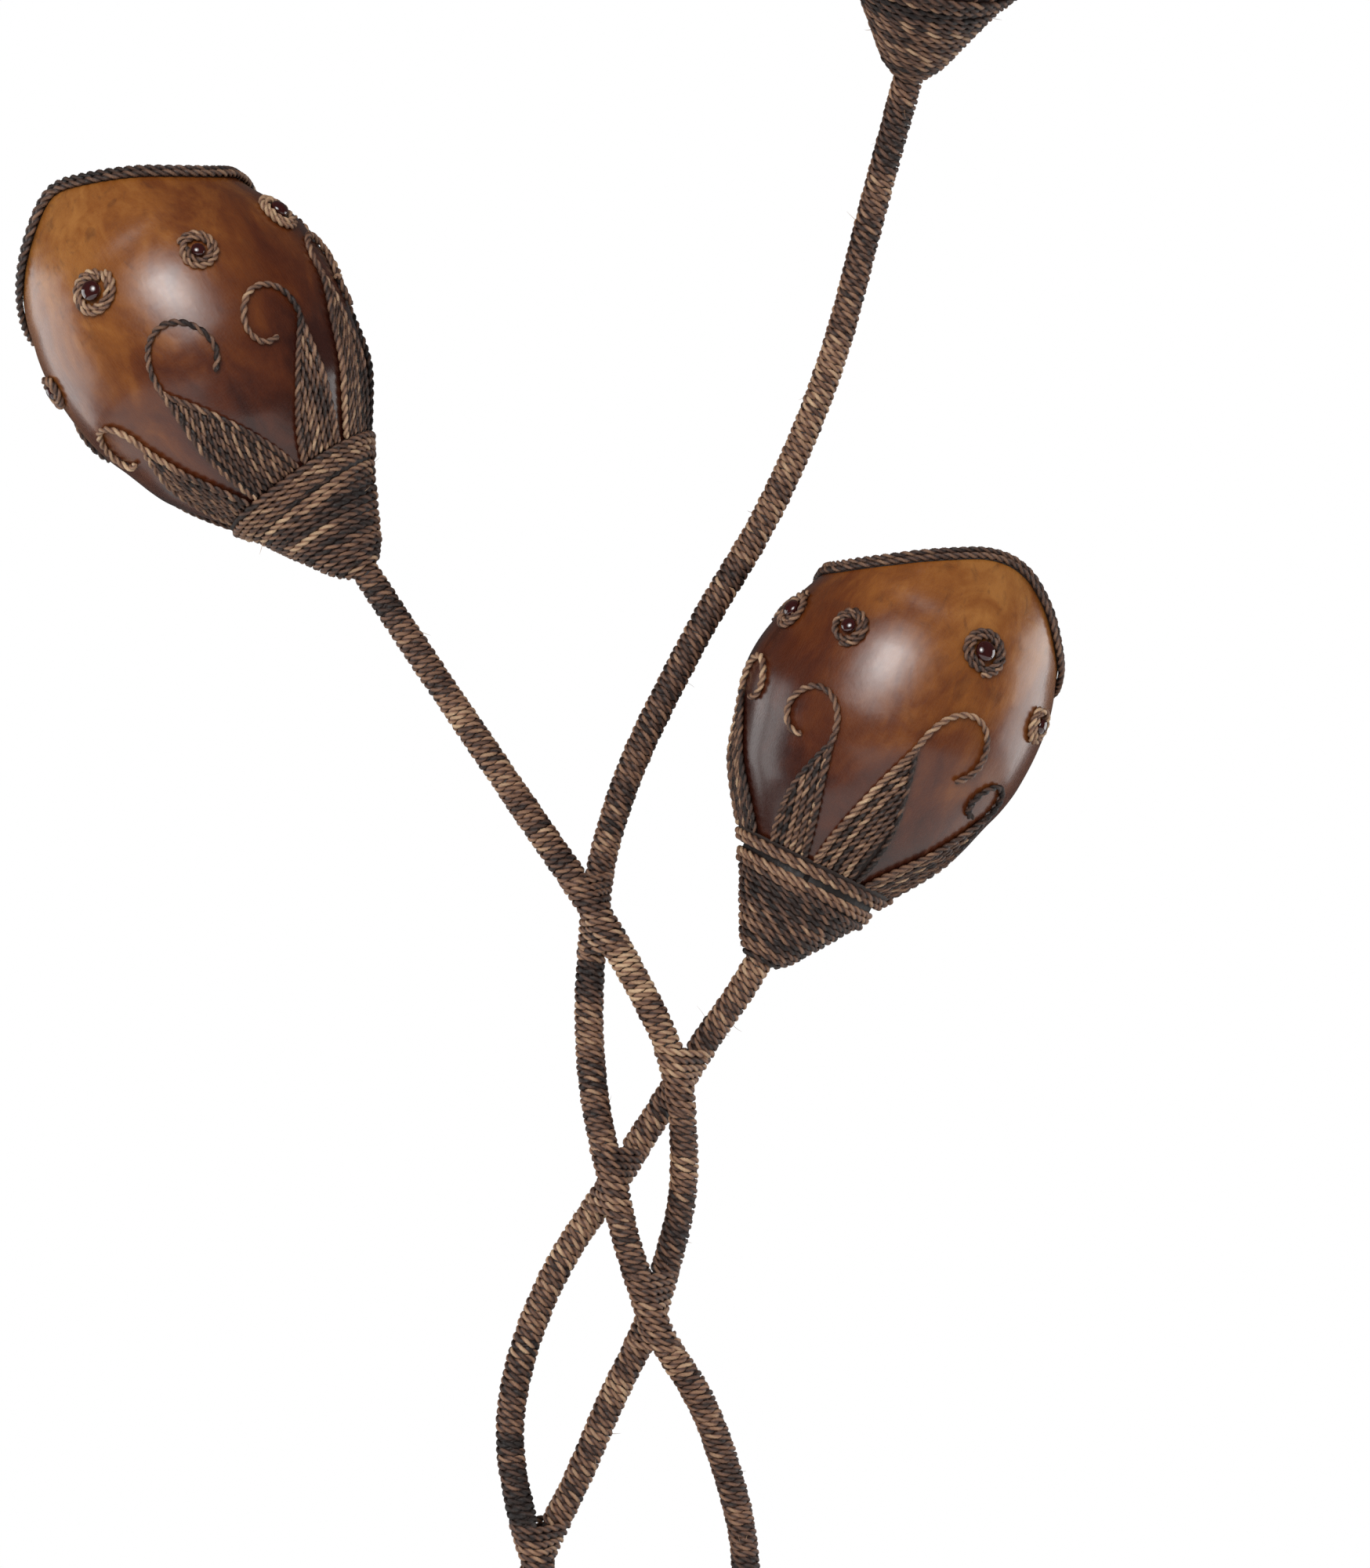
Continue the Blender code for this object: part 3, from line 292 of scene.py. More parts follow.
class Bundle:
    """Two-ply twisted cords collected into one mesh. tone: how light the dye is, from 0 to 1, with painted shadow
    darkening the creases between plies and the underlay sheets; run: where on the cord.
    """

    def __init__(self):
        self.verts, self.quads, self.tris, self.tone, self.run, self.count = [], [], [], [], [], 0

    def cord(self, path, up, r, pitch=13.0, phase=0.0, flat=1.0, wide=1.0, tone=0.45, split=0.12, seed=0, closed=False, sides=12, rough=0.16, start=0.0, taper=True):
        path, up = np.asarray(path, float), np.asarray(up, float)
        n = len(path)
        if closed:
            t = np.roll(path, -1, axis=0) - np.roll(path, 1, axis=0)
            seg = np.linalg.norm(np.roll(path, -1, axis=0) - path, axis=1)
            total = seg.sum()
            pitch = total / max(1, round(total / pitch))
            s = np.concatenate([[0.0], np.cumsum(seg[:-1])])
        else:
            t = np.gradient(path, axis=0)
            s = np.concatenate([[0.0], np.cumsum(np.linalg.norm(np.diff(path, axis=0), axis=1))])
        t /= np.linalg.norm(t, axis=1)[:, None]
        up = up - t * (up * t).sum(1)[:, None]
        up /= np.linalg.norm(up, axis=1)[:, None]
        side = np.cross(t, up)
        at = s + start
        theta = 2 * np.pi * s / pitch + phase
        if not closed:
            theta = theta + 0.35 * noise1(at, 21.0, seed + 5)
        half = sides // 2
        ang = np.radians(np.linspace(-126.0, 126.0, half))
        ply = np.stack([0.45 + 0.55 * np.cos(ang), 0.60 * np.sin(ang)], axis=1)
        ring = np.concatenate([ply, -ply])
        sides = 2 * half
        size = np.full(n, float(r))
        if not closed:
            size = size * (1 + 0.06 * noise1(at, 17.0, seed + 6))
            if taper:
                size[[0, -1]] *= 0.62
                size[[1, -2]] *= 0.93
        c, sn = np.cos(theta)[:, None], np.sin(theta)[:, None]
        x = ring[None, :, 0] * c - ring[None, :, 1] * sn
        y = ring[None, :, 0] * sn + ring[None, :, 1] * c
        flat, wide = np.broadcast_to(flat, n), np.broadcast_to(wide, n)
        points = (
            path[:, None, :] + up[:, None, :] * (x * (size * flat)[:, None])[:, :, None]
            + side[:, None, :] * (y * (size * wide)[:, None])[:, :, None]
        )
        first = self.count
        k, i = np.meshgrid(np.arange(n if closed else n - 1), np.arange(sides), indexing="ij")
        j, k2 = (i + 1) % sides, (k + 1) % n
        quads = np.stack([k * sides + i, k * sides + j, k2 * sides + j, k2 * sides + i], axis=-1).reshape(-1, 4) + first
        self.verts.append(points.reshape(-1, 3))
        self.quads.append(quads)
        base = np.broadcast_to(np.asarray(tone, float), n)
        spread = np.broadcast_to(np.asarray(split, float), n)
        plies = []
        for p, sign in ((0, 1.0), (1, -1.0)):
            v = (
                base + sign * spread * (0.35 + 0.65 * noise1(at, 120.0, seed + 3)) + 1.1 * rough * noise1(at, 90.0, seed + 4)
                + 0.8 * rough * noise1(at, 30.0, seed + 11 + 7 * p) + 0.7 * rough * noise1(at, 7.0, seed + 13 + 7 * p)
            )
            plies.append(v)
        tones = np.concatenate([np.repeat(plies[0][:, None], half, 1), np.repeat(plies[1][:, None], half, 1)], axis=1)
        # painted shadow: each ply is darker towards its edges, in the creases between the plies, and a little lighter
        # in its middle
        crease_shadow = np.abs(np.linspace(-1, 1, half)) ** 2.5
        tones = tones + 0.05 - 0.26 * np.concatenate([crease_shadow, crease_shadow])[None, :]
        self.tone.append(tones.reshape(-1))
        place = np.stack([
            np.repeat(at[:, None], sides, 1) * 0.16,
            np.concatenate([np.sin(ang), np.sin(ang)])[None, :] * 2.6 + np.repeat([0.0, 9.0], half)[None, :] + 0 * x,
            np.full((n, sides), (seed % 97) * 3.1),
        ], axis=-1)
        self.run.append(place.reshape(-1, 3))
        self.count += n * sides
        if not closed:
            for end, order in ((0, -1), (n - 1, 1)):
                self.verts.append(path[end:end + 1] + t[end:end + 1] * (0.25 * r * order))
                self.tone.append(np.array([float(plies[0][end]) - 0.1]))
                self.run.append(place[end, :1, :])
                idx = first + end * sides + np.arange(sides)
                nxt = np.roll(idx, -1)
                mid = np.full(sides, self.count)
                self.tris.append(np.stack([mid, idx, nxt] if order > 0 else [mid, nxt, idx], axis=1))
                self.count += 1

    def grid(self, points, tone, wrap=False, seed=0):
        """A plain sheet of rows and columns of points under the cords, so that no gap between them shows through; it is
        coloured dark as painted shadow in the gaps.
        """
        rows, columns = points.shape[:2]
        first = self.count
        k, i = np.meshgrid(np.arange(rows - 1), np.arange(columns if wrap else columns - 1), indexing="ij")
        j = (i + 1) % columns
        quads = np.stack([k * columns + i, k * columns + j, (k + 1) * columns + j, (k + 1) * columns + i], -1).reshape(-1, 4) + first
        self.verts.append(points.reshape(-1, 3))
        self.quads.append(quads)
        self.tone.append(np.full(rows * columns, float(tone)))
        u, v = np.meshgrid(np.arange(rows) * 0.9, np.arange(columns) * 0.9, indexing="ij")
        self.run.append(np.stack([u, v, np.full_like(u, seed * 2.3)], -1).reshape(-1, 3))
        self.count += rows * columns

    def fibre(self, base, way, length, r, seed):
        """One loose fibre end: a thin bent three-sided spike."""
        rng = np.random.default_rng(seed)
        bend = rng.normal(size=3) * length * 0.25
        t = np.linspace(0, 1, 5)[:, None]
        path = base + way * length * t + bend * t**2
        up = np.cross(way, rng.normal(size=3))
        up = np.repeat(up[None] / np.linalg.norm(up), 5, 0)
        tan = np.gradient(path, axis=0)
        tan /= np.linalg.norm(tan, axis=1)[:, None]
        side = np.cross(tan, up)
        size = r * np.array([1, 0.9, 0.7, 0.5, 0.2])[:, None, None]
        a = np.radians([0, 120, 240])
        ring = path[:, None] + size * (np.cos(a)[None, :, None] * up[:, None] + np.sin(a)[None, :, None] * side[:, None])
        first = self.count
        k, i = np.meshgrid(np.arange(4), np.arange(3), indexing="ij")
        j = (i + 1) % 3
        self.verts.append(ring.reshape(-1, 3))
        self.quads.append(np.stack([k * 3 + i, k * 3 + j, (k + 1) * 3 + j, (k + 1) * 3 + i], -1).reshape(-1, 4) + first)
        self.tris.append(np.array([[0, 2, 1], [12, 13, 14]]) + first)
        self.tone.append(np.full(15, 0.45 + 0.3 * rng.uniform()))
        self.run.append(np.repeat(np.array([[seed * 1.7, 0.0, 0.0]]), 15, 0))
        self.count += 15

    def build(self, name, mat, body, slot, *replaces):
        tris = np.concatenate(self.tris) if self.tris else None
        ob = make_mesh(
            name, np.concatenate(self.verts), np.concatenate(self.quads), tris,
            floats={"tone": np.clip(np.concatenate(self.tone), 0, 1)}, vectors={"run": np.concatenate(self.run)},
        )
        ob.data.materials.append(mat)
        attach(ob, body)
        if replaces:
            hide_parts(*replaces)
        return ob


def revolve(name, profile, matrix, segments=72, sharp=38, closed=True):
    """A (height, radius) section, running down the outside, turned about local Z, then placed."""
    p = np.array(profile, float)
    a = np.linspace(0, 2 * np.pi, segments, endpoint=False)
    verts, rows, tris, quads = [], [], [], []
    count = 0
    for h, r in p:
        if r < 1e-6:
            verts.append([(0.0, 0.0, h)])
            rows.append(np.array([count]))
            count += 1
        else:
            verts.append(np.stack([r * np.cos(a), r * np.sin(a), np.full(segments, h)], 1))
            rows.append(count + np.arange(segments))
            count += segments
    pairs = list(zip(rows, rows[1:])) + ([(rows[-1], rows[0])] if closed else [])
    for up, low in pairs:
        if len(up) == 1 and len(low) == 1:
            continue
        if len(up) == 1:
            tris.append(np.stack([np.full(segments, up[0]), low, np.roll(low, -1)], 1))
        elif len(low) == 1:
            tris.append(np.stack([up, np.full(segments, low[0]), np.roll(up, -1)], 1))
        else:
            quads.append(np.stack([up, low, np.roll(low, -1), np.roll(up, -1)], 1))
    verts = np.concatenate([np.asarray(v, float) for v in verts])
    ob = make_mesh(
        name, moved(matrix, verts), np.concatenate(quads), np.concatenate(tris) if tris else None,
        vectors={"loc": verts}, sharp=sharp,
    )
    return ob


# ---------------------------------------------------------------- materials


def srgb(r, g, b):
    def one(v):
        v /= 255.0
        return v / 12.92 if v <= 0.04045 else ((v + 0.055) / 1.055) ** 2.4
    return (one(r), one(g), one(b), 1.0)


class Nodes:
    """Short names for building a node tree."""

    def __init__(self, name):
        self.mat = bpy.data.materials.new(name)
        self.mat.use_nodes = True
        self.tree = self.mat.node_tree
        self.shader = self.tree.nodes["Principled BSDF"]

    def add(self, kind, **values):
        node = self.tree.nodes.new(kind)
        for key, value in values.items():
            setattr(node, key, value)
        return node

    def link(self, a, b):
        self.tree.links.new(a, b)

    def set(self, node, **values):
        for key, value in values.items():
            slot = node.inputs[key.replace("_", " ")]
            if hasattr(value, "is_linked"):
                self.link(value, slot)
            else:
                slot.default_value = value
        return node

    def attribute(self, name):
        return self.add("ShaderNodeAttribute", attribute_name=name)

    def scaled(self, vector, scale):
        node = self.add("ShaderNodeMapping")
        self.link(vector, node.inputs["Vector"])
        node.inputs["Scale"].default_value = scale
        return node.outputs["Vector"]

    def noise(self, vector, scale, detail=3.0, rough=0.5, distort=0.0):
        node = self.add("ShaderNodeTexNoise")
        if vector is not None:
            self.link(vector, node.inputs["Vector"])
        node.inputs["Scale"].default_value = scale
        node.inputs["Detail"].default_value = detail
        node.inputs["Roughness"].default_value = rough
        node.inputs["Distortion"].default_value = distort
        return node.outputs["Fac"]

    def maths(self, op, a, b=0.0, clamp=False):
        node = self.add("ShaderNodeMath", operation=op, use_clamp=clamp)
        for slot, value in zip(node.inputs, (a, b)):
            if hasattr(value, "is_linked"):
                self.link(value, slot)
            else:
                slot.default_value = value
        return node.outputs[0]

    def span(self, value, a, b, c=0.0, d=1.0, smooth=False):
        node = self.add("ShaderNodeMapRange")
        node.interpolation_type = "SMOOTHSTEP" if smooth else "LINEAR"
        self.link(value, node.inputs["Value"])
        for key, v in zip(("From Min", "From Max", "To Min", "To Max"), (a, b, c, d)):
            node.inputs[key].default_value = v
        return node.outputs["Result"]

    def ramp(self, value, stops):
        node = self.add("ShaderNodeValToRGB")
        self.link(value, node.inputs["Fac"])
        band = node.color_ramp
        while len(band.elements) < len(stops):
            band.elements.new(0.5)
        for element, (place, colour) in zip(band.elements, stops):
            element.position = place
            element.color = colour
        return node.outputs["Color"]

    def mix(self, fac, a, b, mode="MIX"):
        node = self.add("ShaderNodeMix", data_type="RGBA", blend_type=mode)
        for slot, value in ((node.inputs[0], fac), (node.inputs[6], a), (node.inputs[7], b)):
            if hasattr(value, "is_linked"):
                self.link(value, slot)
            else:
                slot.default_value = value
        return node.outputs[2]

    def bump(self, height, strength, distance):
        node = self.add("ShaderNodeBump")
        self.link(height, node.inputs["Height"])
        node.inputs["Strength"].default_value = strength
        node.inputs["Distance"].default_value = distance
        self.link(node.outputs["Normal"], self.shader.inputs["Normal"])
        return node


def cord_material(name, grey=0.0, light=1.0, gloss=0.46):
    """Twisted plant fibre: dye by length and ply, with the painted shadow carried in the tone attribute, fine fibres
    along it, a thin old varnish.
    """
    n = Nodes(name)
    tone = n.attribute("tone").outputs["Fac"]
    run = n.attribute("run").outputs["Vector"]
    fibres = n.noise(n.scaled(run, (1.0, 2.6, 1.0)), 1.6, 4.0, 0.66)
    value = n.maths("ADD", tone, n.maths("MULTIPLY", n.maths("SUBTRACT", fibres, 0.5), 0.62), clamp=True)
    colour = n.ramp(value, [
        (0.00, srgb(27, 19, 17)), (0.18, srgb(54, 37, 30)), (0.36, srgb(98, 69, 55)),
        (0.55, srgb(148, 109, 84)), (0.84, srgb(212, 178, 142)),
    ])
    if grey:
        colour = n.mix(grey, colour, srgb(70, 64, 62))
    if light != 1.0:
        colour = n.mix(1.0, colour, (light, light, light, 1.0), "MULTIPLY")
    n.set(n.shader, Base_Color=colour, Roughness=n.span(fibres, 0.3, 0.7, gloss - 0.12, gloss + 0.12))
    n.shader.inputs["Specular IOR Level"].default_value = 0.55
    n.bump(fibres, 0.8, 0.0005)
    return n.mat


def gourd_material(name, turn):
    """Varnished gourd: amber towards the rim and the front and deep red brown below, partly its own colour and partly
    painted light where the lamps fall from above and in front; cloudy figure, fine scratches.
    """
    n = Nodes(name)
    loc = n.attribute("loc").outputs["Vector"]
    split = n.add("ShaderNodeSeparateXYZ")
    n.link(loc, split.inputs[0])
    x, y, z = split.outputs
    offset = n.add("ShaderNodeVectorMath", operation="ADD")
    n.link(loc, offset.inputs[0])
    offset.inputs[1].default_value = (turn, turn * 0.3, 0.0)
    at = offset.outputs[0]
    clouds = n.noise(n.scaled(at, (0.030, 0.030, 0.017)), 1.0, 5.0, 0.55, 1.1)
    mottle = n.noise(n.scaled(at, (0.11, 0.11, 0.07)), 1.0, 4.0, 0.6, 0.7)
    grain = n.noise(n.scaled(at, (1.5, 1.5, 0.12)), 1.0, 3.0, 0.6)
    specks = n.noise(n.scaled(at, (0.9, 0.9, 0.9)), 1.0, 2.0, 0.5)
    # partly painted light: lighter towards the top and towards the front, which face the lamps; the clouds, mottle and
    # grain below are the gourd's own figure
    height = n.span(z, 105.0, 275.0)
    lip = n.maths("SUBTRACT", n.maths("MULTIPLY", x, 0.84), n.maths("MULTIPLY", y, 0.54))
    front = n.span(lip, -30.0, 95.0)
    amber = n.maths("ADD", n.maths("MULTIPLY", height, 0.78), n.maths("MULTIPLY", front, 0.42))
    amber = n.maths("ADD", amber, n.maths("MULTIPLY", n.maths("SUBTRACT", clouds, 0.5), 1.0))
    amber = n.maths("ADD", amber, n.maths("MULTIPLY", n.maths("SUBTRACT", mottle, 0.5), 0.34))
    amber = n.maths("ADD", amber, n.maths("MULTIPLY", n.maths("SUBTRACT", grain, 0.5), 0.10))
    amber = n.maths("SUBTRACT", amber, 0.15, clamp=True)
    colour = n.ramp(amber, [
        (0.00, srgb(54, 22, 14)), (0.28, srgb(82, 37, 17)), (0.52, srgb(104, 53, 21)),
        (0.78, srgb(136, 80, 33)), (1.00, srgb(160, 104, 50)),
    ])
    smoke = n.span(n.noise(n.scaled(at, (0.055, 0.055, 0.028)), 1.0, 6.0, 0.62, 2.2), 0.52, 0.70, 0.0, 0.42, True)
    smoke = n.maths("MULTIPLY", smoke, n.span(z, 150.0, 230.0, 0.25, 1.0))
    colour = n.mix(smoke, colour, srgb(74, 42, 26))
    colour = n.mix(n.span(specks, 0.66, 0.74, 0.0, 0.25), colour, srgb(66, 36, 22))
    scratch = n.noise(n.scaled(at, (0.5, 3.4, 0.07)), 1.0, 5.0, 0.75, 0.15)
    hatch = n.noise(n.scaled(at, (2.4, 0.16, 0.55)), 1.0, 4.0, 0.7, 0.3)
    wear = n.maths("ADD", n.maths("MULTIPLY", scratch, 0.6), n.maths("MULTIPLY", hatch, 0.4))
    n.set(n.shader, Base_Color=colour, Roughness=n.span(wear, 0.35, 0.65, 0.21, 0.34))
    n.shader.inputs["Specular IOR Level"].default_value = 0.60
    n.shader.inputs["Coat Weight"].default_value = 0.35
    n.link(n.span(wear, 0.35, 0.65, 0.10, 0.22), n.shader.inputs["Coat Roughness"])
    n.bump(n.maths("ADD", n.maths("MULTIPLY", wear, 0.5), n.maths("MULTIPLY", mottle, 1.2)), 0.22, 0.0006)
    return n.mat


def inside_material():
    """Bare gourd wall inside: dry, pale brown, fibrous."""
    n = Nodes("gourd_inside")
    loc = n.attribute("loc").outputs["Vector"]
    wide = n.noise(n.scaled(loc, (0.05, 0.05, 0.03)), 1.0, 5.0, 0.6, 0.8)
    fine = n.noise(n.scaled(loc, (0.9, 0.9, 0.25)), 1.0, 4.0, 0.65)
    value = n.maths("ADD", n.maths("MULTIPLY", wide, 0.7), n.maths("MULTIPLY", fine, 0.3))
    colour = n.ramp(value, [(0.25, srgb(96, 58, 32)), (0.5, srgb(140, 94, 56)), (0.8, srgb(176, 130, 86))])
    n.set(n.shader, Base_Color=colour, Roughness=n.span(fine, 0.3, 0.7, 0.55, 0.85))
    n.bump(fine, 0.5, 0.0006)
    return n.mat


def plain_material(name, dark, light, rough=(0.3, 0.5), metal=0.0, scale=0.2, grain=(1.0, 1.0, 1.0), bump=0.1, coord="loc", coat=0.0, spec=0.5):
    """Moulded, painted or metal surface with its slight variation. coord is a point attribute in mm, or None for world metres."""
    n = Nodes(name)
    if coord:
        at = n.scaled(n.attribute(coord).outputs["Vector"], grain)
    else:
        at = n.scaled(n.add("ShaderNodeNewGeometry").outputs["Position"], tuple(1000.0 * g for g in grain))
    wide = n.noise(at, scale, 4.0, 0.6)
    fine = n.noise(at, scale * 9.0, 3.0, 0.6)
    value = n.maths("ADD", n.maths("MULTIPLY", wide, 0.65), n.maths("MULTIPLY", fine, 0.35))
    n.set(n.shader, Base_Color=n.ramp(value, [(0.3, dark), (0.7, light)]), Roughness=n.span(value, 0.3, 0.7, *rough), Metallic=metal)
    n.shader.inputs["Coat Weight"].default_value = coat
    n.shader.inputs["Specular IOR Level"].default_value = spec
    n.bump(fine, bump, 0.0003)
    return n.mat


CORD = cord_material("plant_cord")
CORD_RIM = cord_material("rim_cord", grey=0.12, light=0.9)
CORD_LEAF = cord_material("leaf_cord", light=0.92)
GOURD = {name: gourd_material("lacquered_gourd_" + name, turn) for name, turn in (("left", 0.0), ("right", 310.0), ("top", 620.0))}
INSIDE = inside_material()
BEAD = plain_material("glass_bead", srgb(36, 9, 10), srgb(62, 18, 16), (0.05, 0.12), scale=0.3, coat=1.0, spec=0.6, bump=0.03)
GLUE = plain_material("dried_glue", srgb(150, 142, 128), srgb(190, 184, 170), (0.2, 0.4), scale=0.4, bump=0.3)
BLACK = plain_material("black_phenolic", srgb(22, 21, 21), srgb(38, 36, 35), (0.28, 0.42), scale=0.25)
RING_BLACK = plain_material("black_ring_plastic", srgb(26, 25, 25), srgb(44, 42, 41), (0.35, 0.5), scale=0.25)
NICKEL = plain_material("nickel_cap", srgb(176, 172, 164), srgb(208, 205, 198), (0.22, 0.38), 1.0, 0.3)
OPAL = plain_material("frosted_glass", srgb(232, 229, 221), srgb(245, 243, 238), (0.28, 0.36), scale=0.1, bump=0.04, coat=0.3)
CUP_TIN = plain_material("spun_cup", srgb(96, 88, 80), srgb(140, 130, 118), (0.35, 0.5), 1.0, 0.2, coord=None)
STEEL = plain_material("tube_steel", srgb(120, 120, 122), srgb(160, 160, 162), (0.3, 0.45), 1.0, 0.2, (1.0, 1.0, 0.1), coord=None)
BRASS = plain_material("nut_brass", srgb(168, 132, 74), srgb(200, 164, 100), (0.25, 0.4), 1.0, 0.3, coord=None)
IRON = plain_material("iron_weight", srgb(70, 70, 72), srgb(104, 104, 106), (0.5, 0.7), 0.9, 0.15, bump=0.5, coord=None)
SHEET = plain_material("painted_sheet", srgb(50, 44, 40), srgb(70, 62, 56), (0.4, 0.55), 0.0, 0.2, coord=None)
PLATE = plain_material("painted_plate", srgb(46, 42, 39), srgb(64, 58, 54), (0.42, 0.58), 0.0, 0.2)
FELT = plain_material("felt", srgb(30, 40, 32), srgb(52, 64, 52), (0.9, 1.0), 0.0, 0.9, bump=0.9)
RUBBER = plain_material("black_rubber", srgb(24, 24, 24), srgb(40, 40, 40), (0.5, 0.65), 0.0, 0.5)
CREAM = plain_material("cream_plastic", srgb(206, 200, 178), srgb(224, 219, 200), (0.4, 0.5), 0.0, 0.2, coord=None)
FLEX = plain_material("flex_sheath", srgb(214, 209, 196), srgb(232, 228, 216), (0.35, 0.5), 0.0, 0.2, coord=None)

for name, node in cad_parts.items():
    mat = (
        CUP_TIN if name.endswith("_cup") else STEEL if name.endswith("_stem_tube") else BRASS if name.endswith("_tube_nut")
        else FLEX if name.endswith("_flex") else IRON if name == "base_weight" else SHEET if name == "base_cover"
        else CREAM if name == "terminal_block" else RUBBER if name == "lead_grommet" else None
    )
    if mat is not None:
        for slot in node.material_slots:
            slot.material = mat

# ---------------------------------------------------------------- stems: tight turns of cord round each tube

CORD_R, TURN = 2.42, 4.35
CORD_FLAT = 0.67
COIL_R = TUBE_R + CORD_R * CORD_FLAT - 0.1
UNDER_R = 7.0
# dye along each stem: (height, tone, difference between the plies)
DYE = {
    "left": [(0, .42, .10), (60, .50, .14), (130, .34, .10), (230, .46, .16), (330, .40, .10), (400, .50, .12), (470, .52, .14), (530, .50, .12),
             (600, .34, .10), (640, .36, .12), (690, .50, .12), (745, .60, .12), (800, .66, .12), (830, .44, .10), (860, .40, .10), (900, .50, .13), (950, .54, .13), (975, .40, .12), (1040, .38, .12)],
    "top": [(0, .40, .10), (90, .36, .12), (180, .50, .14), (280, .42, .10), (350, .50, .14), (430, .40, .10), (475, .38, .12), (530, .50, .14), (560, .50, .12),
            (640, .40, .12), (700, .36, .18), (770, .34, .18), (830, .40, .12), (895, .42, .12), (960, .36, .10), (990, .30, .08), (1040, .44, .12), (1094, .50, .12), (1165, .54, .12), (1230, .44, .12), (1262, .42, .12), (1330, .34, .10)],
    "right": [(0, .46, .12), (110, .36, .10), (200, .48, .14), (300, .40, .12), (380, .46, .10), (440, .22, .06), (500, .22, .06), (520, .44, .22), (620, .50, .24),
              (660, .44, .16), (700, .46, .14), (760, .50, .12), (800, .46, .12)],
}


def dye(stem, z):
    t = np.array(DYE[stem], float)
    return np.interp(z, t[:, 0], t[:, 1]), np.interp(z, t[:, 0], t[:, 2])


LINES = {}
for stem, route in ROUTES.items():
    spec = HEADS[stem]
    axis = np.array(head_matrix(spec))[:3, 2]
    line = natural_spline(route, SEGMENTS[stem] * 16)
    line = line[line[:, 2] > 60.0]
    tail = np.array([(route[-1][0], route[-1][1], z) for z in (46.0, 44.0, 42.0, WRAP_END_Z + 2.3)])
    join = line[-1] + (tail[0] - line[-1]) * np.linspace(0.1, 0.9, 9)[:, None]
    whole = np.vstack([[np.array(spec["tip"]) + axis * 2.2], line, join, tail])
    run = np.concatenate([[0.0], np.cumsum(np.linalg.norm(np.diff(whole, axis=0), axis=1))])
    want = np.linspace(0.0, run[-1], int(run[-1]))
    fine = np.stack([np.interp(want, run, whole[:, k]) for k in range(3)], axis=1)
    soft = np.hanning(13)
    soft /= soft.sum()
    padded = np.vstack([fine[:1]] * 6 + [fine] + [fine[-1:]] * 6)
    even = np.stack([np.convolve(padded[:, k], soft, mode="valid") for k in range(3)], axis=1)
    even[0], even[-1] = fine[0], fine[-1]
    LINES[stem] = even


def frames_along(line):
    """Tangents and two transported cross vectors."""
    t = np.gradient(line, axis=0)
    t /= np.linalg.norm(t, axis=1)[:, None]
    e1 = np.zeros_like(t)
    v = np.cross(t[0], (0.0, -1.0, 0.0))
    e1[0] = v / np.linalg.norm(v)
    for k in range(1, len(t)):
        v = e1[k - 1] - t[k] * (e1[k - 1] @ t[k])
        e1[k] = v / np.linalg.norm(v)
    return t, e1, np.cross(t, e1)


def at_height(line, z):
    k = int(np.argmin(np.abs(line[:, 2] - z)))
    k = min(max(k, 4), len(line) - 5)
    way = line[k + 4] - line[k - 4]
    return line[k], way / np.linalg.norm(way)


def pierce(line, point, normal):
    side = (line - point) @ normal
    near = np.linalg.norm(line - point, axis=1)
    hits = [k for k in np.nonzero(side[:-1] * side[1:] <= 0)[0] if near[k] < 90.0]
    k = min(hits, key=lambda i: near[i])
    u = side[k] / (side[k] - side[k + 1]) if side[k] != side[k + 1] else 0.0
    way = line[min(k + 2, len(line) - 1)] - line[max(k - 2, 0)]
    return line[k] + u * (line[k + 1] - line[k]), way / np.linalg.norm(way)


ZONES = []
for number, (one, two, z) in enumerate(CROSSINGS, 1):
    p1, w1 = at_height(LINES[one], z)
    p2, w2 = at_height(LINES[two], z)
    middle = (p1 + p2) / 2
    w1, w2 = (w if w[2] > 0 else -w for w in (w1, w2))
    normal = (w1 + w2) / np.linalg.norm(w1 + w2)
    back = np.array([0.0, 1.0, 0.0])
    back = back - normal * (back @ normal)
    back /= np.linalg.norm(back)
    right = np.cross(back, normal)
    ends = []
    for sign in (-1, 1):
        reach = 6.0
        while reach < 23.0:
            a, b = (pierce(LINES[name], middle + normal * sign * (reach + 0.5), normal)[0] for name in (one, two))
            if abs((a - b) @ right) > 19.5:
                break
            reach += 0.5
        ends.append(sign * reach)
    ZONES.append({"number": number, "pair": (one, two), "middle": middle, "normal": normal, "back": back, "right": right, "ends": ends})


